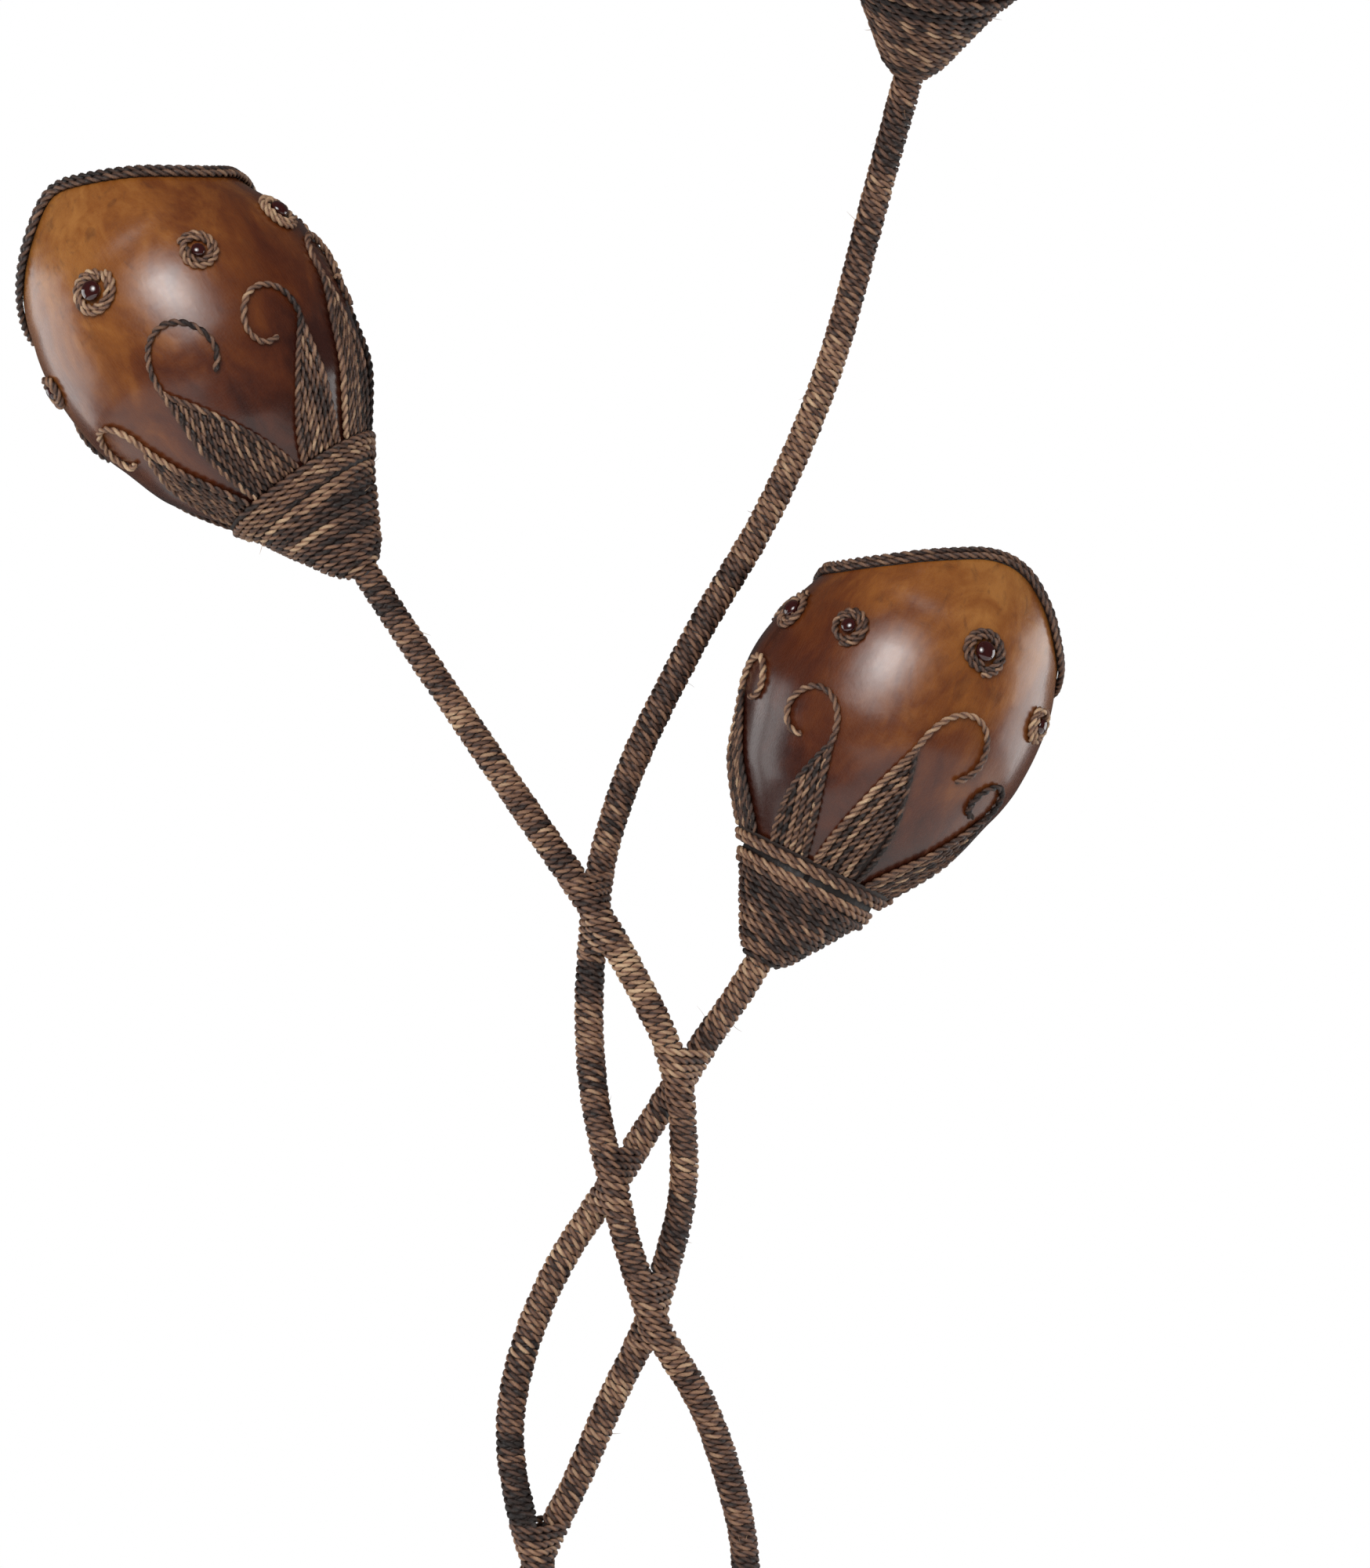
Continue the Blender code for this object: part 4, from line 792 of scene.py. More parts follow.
def lash(zone, bundle):
    """Cord wound round both stems at a crossing: each turn follows the outline round the two rods."""
    one, two = zone["pair"]
    low, high = zone["ends"]
    stations = np.linspace(low - 1.0, high + 1.0, 40)
    got = [[pierce(LINES[name], zone["middle"] + zone["normal"] * d, zone["normal"]) for name in (one, two)] for d in stations]
    turns = (high - low) / TURN
    phi = np.linspace(0, 2 * np.pi * turns, int(turns * 96))
    d = low + (high - low) * phi / phi[-1]
    best, score = None, np.full(len(phi), -1e9)
    u = np.stack([np.cos(phi), -np.sin(phi)], 1)
    point = np.zeros((len(phi), 2))
    radius = COIL_R + 0.35
    for which in (0, 1):
        centres = np.array([[(g[which][0] - zone["middle"]) @ zone["right"], (g[which][0] - zone["middle"]) @ zone["back"]] for g in got])
        slants = []
        for g in got:
            w = g[which][1]
            tilt = abs(float(w @ zone["normal"]))
            flat = np.array([w @ zone["right"], w @ zone["back"]])
            size = np.linalg.norm(flat)
            e1 = flat / size if size > 1e-6 else np.array([1.0, 0.0])
            if e1[0] < 0:
                e1 = -e1
            slants.append((radius / tilt, e1[0], e1[1]))
        slants = np.array(slants)
        c = np.stack([np.interp(d, stations, centres[:, k]) for k in (0, 1)], 1)
        a = np.interp(d, stations, slants[:, 0])
        e1 = np.stack([np.interp(d, stations, slants[:, k]) for k in (1, 2)], 1)
        e1 /= np.linalg.norm(e1, axis=1)[:, None]
        e2 = np.stack([-e1[:, 1], e1[:, 0]], 1)
        c1, c2 = (u * e1).sum(1), (u * e2).sum(1)
        reach = np.hypot(a * c1, radius * c2)
        at = (a**2 * c1)[:, None] / reach[:, None] * e1 + (radius**2 * c2)[:, None] / reach[:, None] * e2 + c
        value = (at * u).sum(1)
        better = value > score
        point[better], score[better] = at[better], value[better]
    path = zone["middle"] + zone["normal"] * d[:, None] + zone["right"] * point[:, :1] + zone["back"] * point[:, 1:]
    up = zone["right"] * u[:, :1] + zone["back"] * u[:, 1:]
    path, up = resample(path, up, 1.6)
    z = path[:, 2]
    t1, s1 = dye(one, z)
    t2, s2 = dye(two, z)
    bundle.cord(path, up, CORD_R, pitch=14.5, flat=CORD_FLAT, tone=0.5 * (t1 + t2) + 0.01, split=s1, seed=900 + zone["number"] * 31)
    # dark underlay sheet: painted shadow between the lashing's turns
    sheet = []
    for first in range(0, len(phi) - 95, 48):
        # whole turns that all start on the same side, so that the rows line up
        turn = np.arange(first, first + 96, 4) if first % 96 == 0 else np.roll(np.arange(first, first + 96, 4), 12)
        inset = point[turn] - u[turn] * 1.5
        level = d[first + 48]
        sheet.append(zone["middle"] + zone["normal"] * level + zone["right"] * inset[:, :1] + zone["back"] * inset[:, 1:])
    bundle.grid(np.array(sheet), 0.10, wrap=True, seed=zone["number"])


for stem, line in LINES.items():
    t, e1, e2 = frames_along(line)
    run = np.concatenate([[0.0], np.cumsum(np.linalg.norm(np.diff(line, axis=0), axis=1))])
    seed = {"left": 100, "top": 200, "right": 300}[stem]
    rate = 1.0 / (TURN * (1 + 0.07 * noise1(run, 60.0, seed) + 0.04 * noise1(run, 14.0, seed + 1)))
    turns = np.concatenate([[0.0], np.cumsum(0.5 * (rate[1:] + rate[:-1]) * np.diff(run))])
    count = int(turns[-1] * 27)
    wound = np.linspace(0, turns[-1], count)
    s = np.interp(wound, turns, run)
    centre = np.stack([np.interp(s, run, line[:, k]) for k in range(3)], 1)
    a1 = np.stack([np.interp(s, run, e1[:, k]) for k in range(3)], 1)
    a2 = np.stack([np.interp(s, run, e2[:, k]) for k in range(3)], 1)
    phi = 2 * np.pi * wound
    out = np.cos(phi)[:, None] * a1 - np.sin(phi)[:, None] * a2
    out /= np.linalg.norm(out, axis=1)[:, None]
    radius = COIL_R + 0.18 * noise1(s, 9.0, seed + 2) + 0.22 * noise1(s, 70.0, seed + 3)
    path = centre + out * radius[:, None]
    keep = np.ones(count, bool)
    for zone in ZONES:
        if stem in zone["pair"]:
            d = (centre - zone["middle"]) @ zone["normal"]
            near = np.linalg.norm(centre - zone["middle"], axis=1) < 60
            keep &= ~(near & (d > zone["ends"][0] + 2.4) & (d < zone["ends"][1] - 2.4))
    edges = np.flatnonzero(np.diff(np.concatenate([[0], keep.astype(int), [0]])))
    bundle = Bundle()
    for first, last in zip(edges[::2], edges[1::2]):
        if last - first < 12:
            continue
        tone, split = dye(stem, centre[first:last, 2])
        bundle.cord(path[first:last], out[first:last], CORD_R, pitch=14.5, flat=CORD_FLAT, tone=tone, split=split, seed=seed + int(first) % 53, start=float(first))
    # dark underlay sheet: painted shadow between the stem's turns
    ring = np.radians(np.arange(0, 360, 20))
    inner = line[::3][:, None, :] + UNDER_R * (np.cos(ring)[None, :, None] * e1[::3][:, None, :] + np.sin(ring)[None, :, None] * e2[::3][:, None, :])
    bundle.grid(inner, 0.10, wrap=True, seed=seed)
    rng = np.random.default_rng(seed + 9)
    for hair in range(26):
        k = int(rng.integers(20, count - 20))
        if keep[k]:
            way = out[k] * rng.uniform(0.4, 0.9) + t[min(int(s[k]), len(t) - 1)] * rng.normal() * 0.7
            bundle.fibre(path[k] + out[k] * 1.0, way / np.linalg.norm(way), rng.uniform(2.5, 7.0), rng.uniform(0.12, 0.26), seed * 7 + hair)
    bundle.build(stem + "_stem_cord", CORD, "stand", "plant_cord", stem + "_stem_wrap")

for zone in ZONES:
    bundle = Bundle()
    lash(zone, bundle)
    bundle.build(f"lashing_{zone['number']}_cord", CORD, "stand", "dark_cord", f"lashing_{zone['number']}")

# ---------------------------------------------------------------- heads

# Leaves, by angle round the axis: (foot from, foot to, angle of tip, height of tip, side the hook curls to, width of hook, form)
LEAVES = {
    "left": [
        (-31, 6, -22, 148, 1, 43, 0), (10, 40, 42, 142, -1, 36, 1), (-69, -37, -48, 134, -1, 32, 1), (47, 80, 65, 160, 1, 34, 1),
        (90, 124, 106, 146, -1, 40, 0), (134, 168, 152, 157, 1, 40, 1), (-184, -150, -170, 147, -1, 40, 0), (-138, -104, -120, 156, 1, 38, 1),
    ],
    "right": [
        (-31, 3, -13, 157, -1, 43, 0), (9, 36, 17, 139, 1, 35, 1), (-68, -38, -66, 139, 1, 27, 1), (52, 82, 76, 146, -1, 28, 1),
        (94, 128, 112, 155, 1, 40, 0), (140, 172, 156, 146, -1, 40, 1), (-182, -148, -165, 157, 1, 38, 0), (-130, -98, -112, 146, -1, 36, 1),
    ],
    "top": [
        (-31, 3, -15, 156, -1, 44, 0), (12, 42, 24, 142, 1, 38, 1), (-72, -42, -58, 152, 1, 38, 1), (54, 84, 70, 148, -1, 38, 0),
        (96, 128, 112, 156, 1, 40, 0), (140, 172, 156, 146, -1, 40, 1), (-182, -150, -166, 157, 1, 38, 0), (-130, -98, -112, 146, -1, 36, 1),
    ],
}
# Hook outlines from the leaf's tip: across and up, as shares of the hook's width.
HOOKS = [
    [(0, 0), (0.07, 0.27), (0.19, 0.50), (0.38, 0.66), (0.60, 0.70), (0.82, 0.60), (0.97, 0.38), (1.0, 0.14), (0.91, -0.06), (0.76, -0.20)],
    [(0, 0), (0.02, 0.24), (0.13, 0.50), (0.36, 0.68), (0.62, 0.70), (0.87, 0.54), (1.0, 0.28), (0.95, 0.03), (0.78, -0.13), (0.56, -0.14)],
]
# Rosettes: (angle, height, outer radius, bead radius)
ROSETTES = {
    "left": [(-21.0, 220, 16.2, 6.3), (20.4, 203, 14.0, 4.2), (65.5, 204, 15.0, 5.8), (-74.0, 196, 13.0, 4.4),
             (108.0, 200, 12.5, 4.2), (152.0, 190, 14.5, 5.8), (-164.0, 188, 12.5, 4.2), (-120.0, 196, 14.5, 5.8)],
    "right": [(-21.0, 224, 16.2, 6.3), (30.0, 203, 13.4, 4.6), (62.5, 199, 14.6, 5.8), (-63.5, 202, 13.6, 5.0),
              (108.0, 200, 12.5, 4.2), (152.0, 190, 14.5, 5.8), (-164.0, 188, 12.5, 4.2), (-115.0, 196, 14.5, 5.8)],
    "top": [(-21.0, 222, 15.0, 6.0), (26.0, 204, 12.5, 4.2), (66.0, 202, 14.0, 5.6), (-66.0, 200, 12.5, 4.2),
            (110.0, 198, 12.5, 4.2), (152.0, 190, 14.5, 5.8), (-164.0, 188, 12.5, 4.2), (-118.0, 196, 14.5, 5.8)],
}


def make_shell(head, spec, seat):
    hand, columns = spec["hand"], 216
    deg = np.linspace(-180, 180, columns, endpoint=False)
    rim = rim_height(head, deg)
    rows = []
    for r, z in ((SHELL_HOLE_R, SHELL_FLOOR_H), (27.0, 53.2), (33.0, 54.2), (37.4, 55.0)):
        a = np.radians(deg)
        rows.append(np.stack([r * np.cos(a), hand * r * np.sin(a), np.full(columns, z)], 1))
    outside = 84
    for k in range(outside + 1):
        u = k / outside
        h = 56.0 + (rim - 1.6 - 56.0) * u
        rows.append(shell_at(deg, h, 0.0, head)[0])
    top_out, n_out = shell_at(deg, rim - 1.6, 0.0, head)
    top_in, _ = shell_at(deg, rim - 1.6, -SHELL_WALL, head)
    rise = np.array([0.0, 0.0, 1.0]) - n_out * n_out[:, 2:]
    rise /= np.linalg.norm(rise, axis=1)[:, None]
    mid = (top_out + top_in) / 2
    for k in range(1, 8):
        b = math.pi * k / 8
        rows.append(mid + n_out * (math.cos(b) * SHELL_WALL / 2) + rise * (math.sin(b) * 1.6))
    inner_first = len(rows)
    for k in range(46):
        u = 1 - k / 45
        h = 59.4 + (rim - 1.6 - 59.4) * u
        rows.append(shell_at(deg, h, -SHELL_WALL, head)[0])
    for r, z in ((34.0, 57.2), (28.0, 56.6), (SHELL_HOLE_R, 55.9)):
        a = np.radians(deg)
        rows.append(np.stack([r * np.cos(a), hand * r * np.sin(a), np.full(columns, z)], 1))
    local = np.concatenate(rows)
    m = len(rows)
    k, i = np.meshgrid(np.arange(m), np.arange(columns), indexing="ij")
    j, k2 = (i + 1) % columns, (k + 1) % m
    quads = np.stack([k * columns + i, k * columns + j, k2 * columns + j, k2 * columns + i], -1).reshape(-1, 4)
    if hand < 0:
        quads = quads[:, ::-1]
    ob = make_mesh(head + "_gourd_shade", moved(seat, local), quads, vectors={"loc": local * np.array([1.0, hand, 1.0])}, sharp=60)
    ob.data.materials.append(GOURD[head])
    ob.data.materials.append(INSIDE)
    row = np.repeat(np.arange(m), columns)
    ob.data.polygons.foreach_set("material_index", ((row >= inner_first - 3) & (row < m - 1)).astype(np.int32))
    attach(ob, head + "_shade_set")
    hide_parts(head + "_shade")


def on_shell(seat, head, deg, h, out):
    p, n = shell_at(deg, h, out, head)
    return moved(seat, p), turned_by(seat, n)


def per_mm(h):
    """Degrees for one millimetre round the gourd, and height for one millimetre up its side."""
    r, slope = np.interp(h, SHELL_H, SHELL_R), np.interp(h, SHELL_H, SHELL_SLOPE)
    return np.degrees(1.0 / r), 1.0 / np.hypot(1.0, slope)


def make_rim(head, spec, seat):
    hand = spec["hand"]
    deg = np.linspace(-180, 180, 720, endpoint=False)
    here, normal = shell_at(deg, rim_height(head, deg) - 0.2, 0.0, head)
    along = np.roll(here, -1, axis=0) - np.roll(here, 1, axis=0)
    along /= np.linalg.norm(along, axis=1)[:, None]
    normal = normal - along * (normal * along).sum(1)[:, None]
    normal /= np.linalg.norm(normal, axis=1)[:, None]
    down = np.cross(along, normal)
    down[down[:, 2] > 0] *= -1
    bundle = Bundle()
    for number, (drop, lift, r) in enumerate(((2.1, 2.5, 2.4), (6.5, 2.35, 2.35)) if head == "left" else ((1.9, 2.3, 2.15), (5.9, 2.15, 2.15))):
        base = here + down * drop
        # the gourd swells below its edge, so each cord is lifted until it lies on the surface
        rad = np.hypot(base[:, 0], base[:, 1])
        swell = shell_radius(head, deg, base[:, 2]) - rad
        path = base + normal * (lift + np.maximum(swell, 0.0) * 0.9)[:, None]
        p, up = resample(moved(seat, path), turned_by(seat, normal), 1.55, closed=True)
        bundle.cord(p, up, r, pitch=12.0, phase=1.3 * number, tone=0.40, split=0.11, rough=0.15, seed=hash_of(head) + 400 + 17 * number, closed=True)
    # dark underlay strip: painted shadow between and under the rim cords
    strip = np.stack([here + down * drop + normal * (lift + 0.9 * np.maximum(shell_radius(head, deg, (here + down * drop)[:, 2]) - np.hypot(*(here + down * drop)[:, :2].T), 0.0))[:, None]
                      for drop, lift in ((0.3, 0.5), (1.9, 1.0), (3.9, 1.2), (5.9, 1.0), (7.6, 0.4))])
    bundle.grid(moved(seat, strip), 0.06, wrap=True, seed=3)
    bundle.build(head + "_rim_cords", CORD_RIM, head + "_shade_set", "dark_cord", head + "_rim_cord")


def hash_of(head):
    return {"left": 1000, "right": 2000, "top": 3000}[head]


def make_leaves(head, spec, seat):
    hand = spec["hand"]
    bundle, hooks = Bundle(), Bundle()
    for number, (lo, hi, tip, tip_h, curl, width, form) in enumerate(LEAVES[head]):
        seed = hash_of(head) + 37 * number
        rng = np.random.default_rng(seed)
        foot_h = 70.5
        t = np.linspace(0.0, 1.0, 90)
        h = foot_h + (tip_h - foot_h) * t
        # the sides bow in a little towards the tip
        ease = t**1.12
        low, high = lo + (tip - lo) * ease, hi + (tip - hi) * ease
        deg_mm, _ = per_mm(h)
        span = (high - low) / deg_mm
        step = 3.75
        across = np.linspace(0.0, 1.0, 12)
        rows_deg = low[::6, None] + (high - low)[::6, None] * across
        flat_p, _ = on_shell(seat, head, rows_deg, np.repeat(h[::6, None], 12, 1), 0.9)
        # dark underlay sheet: painted shadow between the leaf strands
        bundle.grid(flat_p if hand > 0 else flat_p[:, ::-1], 0.10, seed=seed)
        # strands lie side by side along the blade, parallel to the border that runs on as the hook
        strands = int(span[0] / step)
        for k in range(strands):
            off = step * (k + 0.55)
            ok = off < span - 1.2
            if ok.sum() < 8:
                continue
            last = int(np.flatnonzero(ok)[-1])
            tt = slice(0, last + 1)
            if curl > 0:
                d = low[tt] + off * deg_mm[tt]
            else:
                d = high[tt] - off * deg_mm[tt]
            wobble = 0.25 * noise1(h[tt] - foot_h, 16.0, seed + 3 + k) * deg_mm[tt]
            path, up = on_shell(seat, head, d + wobble, h[tt], 1.75 + 0.25 * noise1(h[tt] - foot_h, 12.0, seed + 60 + k))
            path, up = resample(path, up, 1.5)
            bundle.cord(path, up, 2.15, pitch=12.5, phase=rng.uniform(0, 6), flat=0.74, tone=0.40 + 0.07 * rng.normal(), split=0.14, rough=0.2, seed=seed + 5 * k, sides=10)
        for side, edge in ((0, low), (1, high)):
            hooked = (side == 0) == (curl > 0)
            inward = 0.6 if side == 0 else -0.6
            d, hh = edge + inward * deg_mm, h
            if hooked:
                shape = curve_through([(x * width * curl, y * width) for x, y in HOOKS[form]], 120)
                dm, hm = per_mm(np.clip(tip_h + shape[:, 1], 60, 300))
                d = np.concatenate([d[:-1], tip + shape[:, 0] * dm])
                hh = np.concatenate([h[:-1], tip_h + shape[:, 1] * hm])
            path, up = on_shell(seat, head, d, hh, np.where(hh < tip_h - 6, 2.2, 2.0))
            path, up = resample(path, up, 1.45)
            target = hooks if hooked else bundle
            target.cord(path, up, 2.2 if hooked else 2.0, pitch=12.0, tone={"left": 0.50, "right": 0.38, "top": 0.44}[head] + 0.05 * rng.normal(), split=0.14, rough=0.2, seed=seed + 90 + side)
    bundle.build(head + "_leaf_cords", CORD_LEAF, head + "_shade_set", "plant_cord", head + "_leaf_crown")
    hooks.build(head + "_tendrils", CORD, head + "_shade_set", "plant_cord")


def make_rosettes(head, spec, seat):
    hand = spec["hand"]
    bundle = Bundle()
    beads_v, beads_q, beads_t, beads_l, count = [], [], [], [], 0
    for number, (deg0, h0, outer, bead) in enumerate(ROSETTES[head]):
        seed = hash_of(head) + 500 + 13 * number
        rng = np.random.default_rng(seed)
        r = 2.25
        inner = bead + r * 0.7
        turns = (outer - r - inner) / (2 * r * 0.93) + 0.55
        phi0 = rng.uniform(0, 2 * np.pi)
        phi = np.linspace(0, 2 * np.pi * turns, int(60 * turns))
        rad = inner + (outer - r - inner) * phi / phi[-1]
        x, y = rad * np.cos(phi0 + phi), rad * np.sin(phi0 + phi)
        dm, hm = per_mm(h0)
        path, up = on_shell(seat, head, deg0 + x * dm, h0 + y * hm, 1.9 + 0.9 * (1 - phi / phi[-1]))
        path, up = resample(path, up, 1.2)
        bundle.cord(path, up, r, pitch=10.0, phase=rng.uniform(0, 6), tone=0.52 + 0.04 * rng.normal(), split=0.13, rough=0.16, seed=seed)
        middle, normal = on_shell(seat, head, deg0, h0, 1.4)
        z = normal / np.linalg.norm(normal)
        xa = np.cross(z, (0.0, 0.0, 1.0))
        xa /= np.linalg.norm(xa)
        ya = np.cross(z, xa)
        rows, segments = 14, 28
        first = count
        for k in range(rows + 1):
            b = math.pi * k / rows
            ring = np.linspace(0, 2 * np.pi, segments, endpoint=False)
            pts = (
                middle + (np.cos(ring)[:, None] * xa + np.sin(ring)[:, None] * ya) * (bead * max(math.sin(b), 0.02))
                + z * (bead * 0.62 * math.cos(b) + bead * 0.35)
            )
            beads_v.append(pts)
            beads_l.append(pts)
        k, i = np.meshgrid(np.arange(rows), np.arange(segments), indexing="ij")
        j = (i + 1) % segments
        beads_q.append(np.stack([k * segments + i, (k + 1) * segments + i, (k + 1) * segments + j, k * segments + j], -1).reshape(-1, 4) + first)
        for row, flip in ((0, False), (rows, True)):
            idx = first + row * segments + np.arange(segments)
            beads_v.append(pts.mean(0)[None] if flip else (middle + z * bead * 0.97)[None])
            beads_l.append(beads_v[-1])
            c = first + (rows + 1) * segments + (1 if flip else 0)
            beads_t.append(np.stack([np.full(segments, c), idx, np.roll(idx, -1)] if not flip else [np.full(segments, c), np.roll(idx, -1), idx], 1))
        count += (rows + 1) * segments + 2
    bundle.build(head + "_rosette_cords", CORD, head + "_shade_set", "plant_cord")
    ob = make_mesh(head + "_rosette_beads", np.concatenate(beads_v), np.concatenate(beads_q), np.concatenate(beads_t), vectors={"loc": np.concatenate(beads_l)})
    bm_fix(ob)
    ob.data.materials.append(BEAD)
    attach(ob, head + "_shade_set")


def bm_fix(ob):
    """Turns every closed body's faces outwards."""
    import bmesh
    bm = bmesh.new()
    bm.from_mesh(ob.data)
    bmesh.ops.recalc_face_normals(bm, faces=bm.faces)
    bm.to_mesh(ob.data)
    bm.free()


def make_cup(head, spec, frame_m):
    """The cup's cord: one cord wound from the mouth down to the tip."""
    prof = np.array(CUP_WRAP_OUT)
    r_cord = 2.25
    run = np.concatenate([[0.0], np.cumsum(np.linalg.norm(np.diff(prof, axis=0), axis=1))])
    s = np.linspace(0, run[-1], 1400)
    hp, rp = np.interp(s, run, prof[:, 0]), np.interp(s, run, prof[:, 1])
    soft = np.hanning(161)
    soft /= soft.sum()
    hs = np.convolve(np.pad(hp, 80, mode="reflect", reflect_type="odd"), soft, mode="valid")
    rs = np.convolve(np.pad(rp, 80, mode="reflect", reflect_type="odd"), soft, mode="valid")
    dh, dr = np.gradient(hs), np.gradient(rs)
    size = np.hypot(dh, dr)
    nh, nr = dr / size, -dh / size
    hc, rc = hs - nh * r_cord * 0.85, rs - nr * r_cord * 0.85
    run = np.concatenate([[0.0], np.cumsum(np.hypot(np.diff(hc), np.diff(rc)))])
    pitch = 4.35
    turns = (run[-1] - 3.2) / pitch
    seed = hash_of(head) + 700
    phi = np.linspace(0, 2 * np.pi * turns, int(turns * 120))
    a = 0.6 - phi
    at = 2.2 + (run[-1] - 3.2) * phi / phi[-1] + 0.35 * noise1(phi * 5, 24.0, seed)
    # the turns were laid a little askew towards the tip
    skew = {"left": 4.6, "right": 0.6, "top": 1.5}[head]
    at = at + skew * np.sin(a) * np.clip((at - 8) / 26, 0, 1) * np.clip((run[-1] - at) / 24, 0, 1)
    at = np.clip(at, 1.2, run[-1] - 0.6)
    h, r = np.interp(at, run, hc), np.interp(at, run, rc) + 0.3 * noise1(phi * 4, 11.0, seed + 1)
    nhh, nrr = np.interp(at, run, nh), np.interp(at, run, nr)
    local = np.stack([r * np.cos(a), r * np.sin(a), h], 1)
    normal = np.stack([nrr * np.cos(a), nrr * np.sin(a), nhh], 1)
    path, up = resample(moved(frame_m, local), turned_by(frame_m, normal), 1.6)
    bundle = Bundle()
    along = np.linspace(0, 1, len(path))
    depth = np.interp(along, np.linspace(0, 1, len(at)), at) / run[-1]
    turn = np.interp(along, np.linspace(0, 1, len(a)), a)
    reach = 1.6 * len(path)
    tone = 0.43 + 0.06 * noise1(along * 100, 9.0, seed + 4) + 0.07 * noise1(along * reach, 17.0, seed + 6)
    if head == "left":
        patches = 0.55 + 0.45 * noise1(along * reach, 21.0, seed + 7)
        tone += 0.26 * np.exp(-(((depth - 0.42) / 0.17) ** 2)) * (0.5 - 0.5 * np.sin(turn - 0.4)) * patches - 0.10 * np.exp(-(((depth - 0.12) / 0.12) ** 2))
    elif head == "right":
        tone += 0.08 * np.exp(-(((depth - 0.80) / 0.2) ** 2)) - 0.13
    else:
        tone -= 0.09
    bundle.cord(path, up, r_cord + 0.12, pitch=15.0, flat=0.78, wide=1.0, tone=tone, split=0.14, rough=0.20, seed=seed + 2)
    # dark underlay sheet: painted shadow between the cup's turns
    ring = np.linspace(0, 2 * np.pi, 48, endpoint=False)
    under_h, under_r = (hc - nh * 0.6)[::60], (rc - nr * 0.6)[::60]
    sheet = np.stack([under_r[:, None] * np.cos(ring), -under_r[:, None] * np.sin(ring), np.repeat(under_h[:, None], 48, 1)], -1)
    bundle.grid(moved(frame_m, sheet), 0.10, wrap=True, seed=seed)
    rng = np.random.default_rng(seed + 8)
    for hair in range(9):
        k = int(rng.integers(10, len(path) - 10))
        way = up[k] + rng.normal(size=3) * 0.5
        bundle.fibre(path[k] + up[k] * 1.2, way / np.linalg.norm(way), rng.uniform(3, 7), rng.uniform(0.14, 0.28), seed * 3 + hair)
    bundle.build(head + "_cup_cord", CORD, "stand", "plant_cord", head + "_cup_wrap")


def make_collar(head, spec, seat, frame_m):
    """Turns of thicker cord round the shade's foot, and, on the right head, the last turns of the cup's cord just below
    them.
    """
    seed = hash_of(head) + 800
    first = {"left": 56.6, "right": 60.9, "top": 58.6}[head]
    turns = (67.6 - first) / 3.15
    phi = np.linspace(0, 2 * np.pi * turns, int(180 * turns))
    u = phi / phi[-1]
    bundle = Bundle()
    h = first + (67.6 - first) * u + 0.25 * noise1(phi * 10, 30.0, seed)
    r = np.interp(h, [54.0, 57.0, 60.5, 67.6], [43.6, 44.6, 46.9, 52.0] if head == "right" else [44.6, 45.6, 47.7, 53.0]) + 0.25 * noise1(phi * 10, 25.0, seed + 1)
    a = 2.2 - phi
    local = np.stack([r * np.cos(a), r * np.sin(a), h], 1)
    normal = np.stack([0.80 * np.cos(a), 0.80 * np.sin(a), np.full(len(a), -0.60)], 1)
    path, up = resample(moved(seat, local), turned_by(seat, normal), 1.7)
    bundle.cord(path, up, 2.4, pitch=14.0, tone=0.40 if head == "right" else 0.45, split=0.14, rough=0.18, seed=seed + 2)
    # dark underlay sheet: painted shadow between the collar's turns
    ring = np.linspace(0, 2 * np.pi, 72, endpoint=False)
    levels = np.linspace(first - 0.6, 69.2, 8)
    inner = np.interp(levels, [54.0, 57.0, 60.5, 69.2], [43.0, 43.9, 46.0, 52.2])
    sheet = np.stack([inner[:, None] * np.cos(ring), inner[:, None] * np.sin(ring), np.repeat(levels[:, None], 72, 1)], -1)
    bundle.grid(moved(seat, sheet), 0.08, wrap=True, seed=seed)
    bundle.build(head + "_collar_cords", CORD, head + "_shade_set", "plant_cord", head + "_collar_cord")
    if head != "right":
        return
    # the slack shade has lifted its collar off the cup: two pale turns show at the cup's lip
    lip = Bundle()
    for number, (share, level, radius, tone) in enumerate(((0.66, 55.6, 44.6, 0.60), (0.30, 54.0, 44.2, 0.56), (0.0, 50.6, 42.8, 0.40))):
        a = np.linspace(0, 2 * np.pi, 300, endpoint=False)
        local = np.stack([radius * np.cos(a), radius * np.sin(a), np.full(300, level)], 1)
        tipped = Matrix(frame_m).lerp(seat, share)
        normal = np.stack([0.86 * np.cos(a), 0.86 * np.sin(a), np.full(300, -0.5)], 1)
        p, n = resample(moved(tipped, local), turned_by(tipped, normal), 1.6, closed=True)
        lip.cord(p, n, 2.35, pitch=14.0, phase=number, flat=0.85, tone=tone, split=0.10, rough=0.12, seed=seed + 40 + number, closed=True)
    # painted shadow: a sheet in the darkest cord colour fills the gap between the cup's lip and the tipped collar
    ring = np.linspace(0, 2 * np.pi, 72, endpoint=False)
    low_ring = moved(frame_m, np.stack([43.6 * np.cos(ring), 43.6 * np.sin(ring), np.full(72, 54.6)], 1))
    high_ring = moved(seat, np.stack([43.8 * np.cos(ring), 43.8 * np.sin(ring), np.full(72, 60.2)], 1))
    lip.grid(np.stack([low_ring, low_ring * 0.5 + high_ring * 0.5, high_ring]), 0.0, wrap=True, seed=2)
    lip.build(head + "_cup_lip_cords", CORD, "stand", "plant_cord")


def finish_piece(ob, mat, body, slot, *nodes):
    ob.data.materials.append(mat)
    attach(ob, body)
    if nodes:
        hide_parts(*nodes)
    return ob


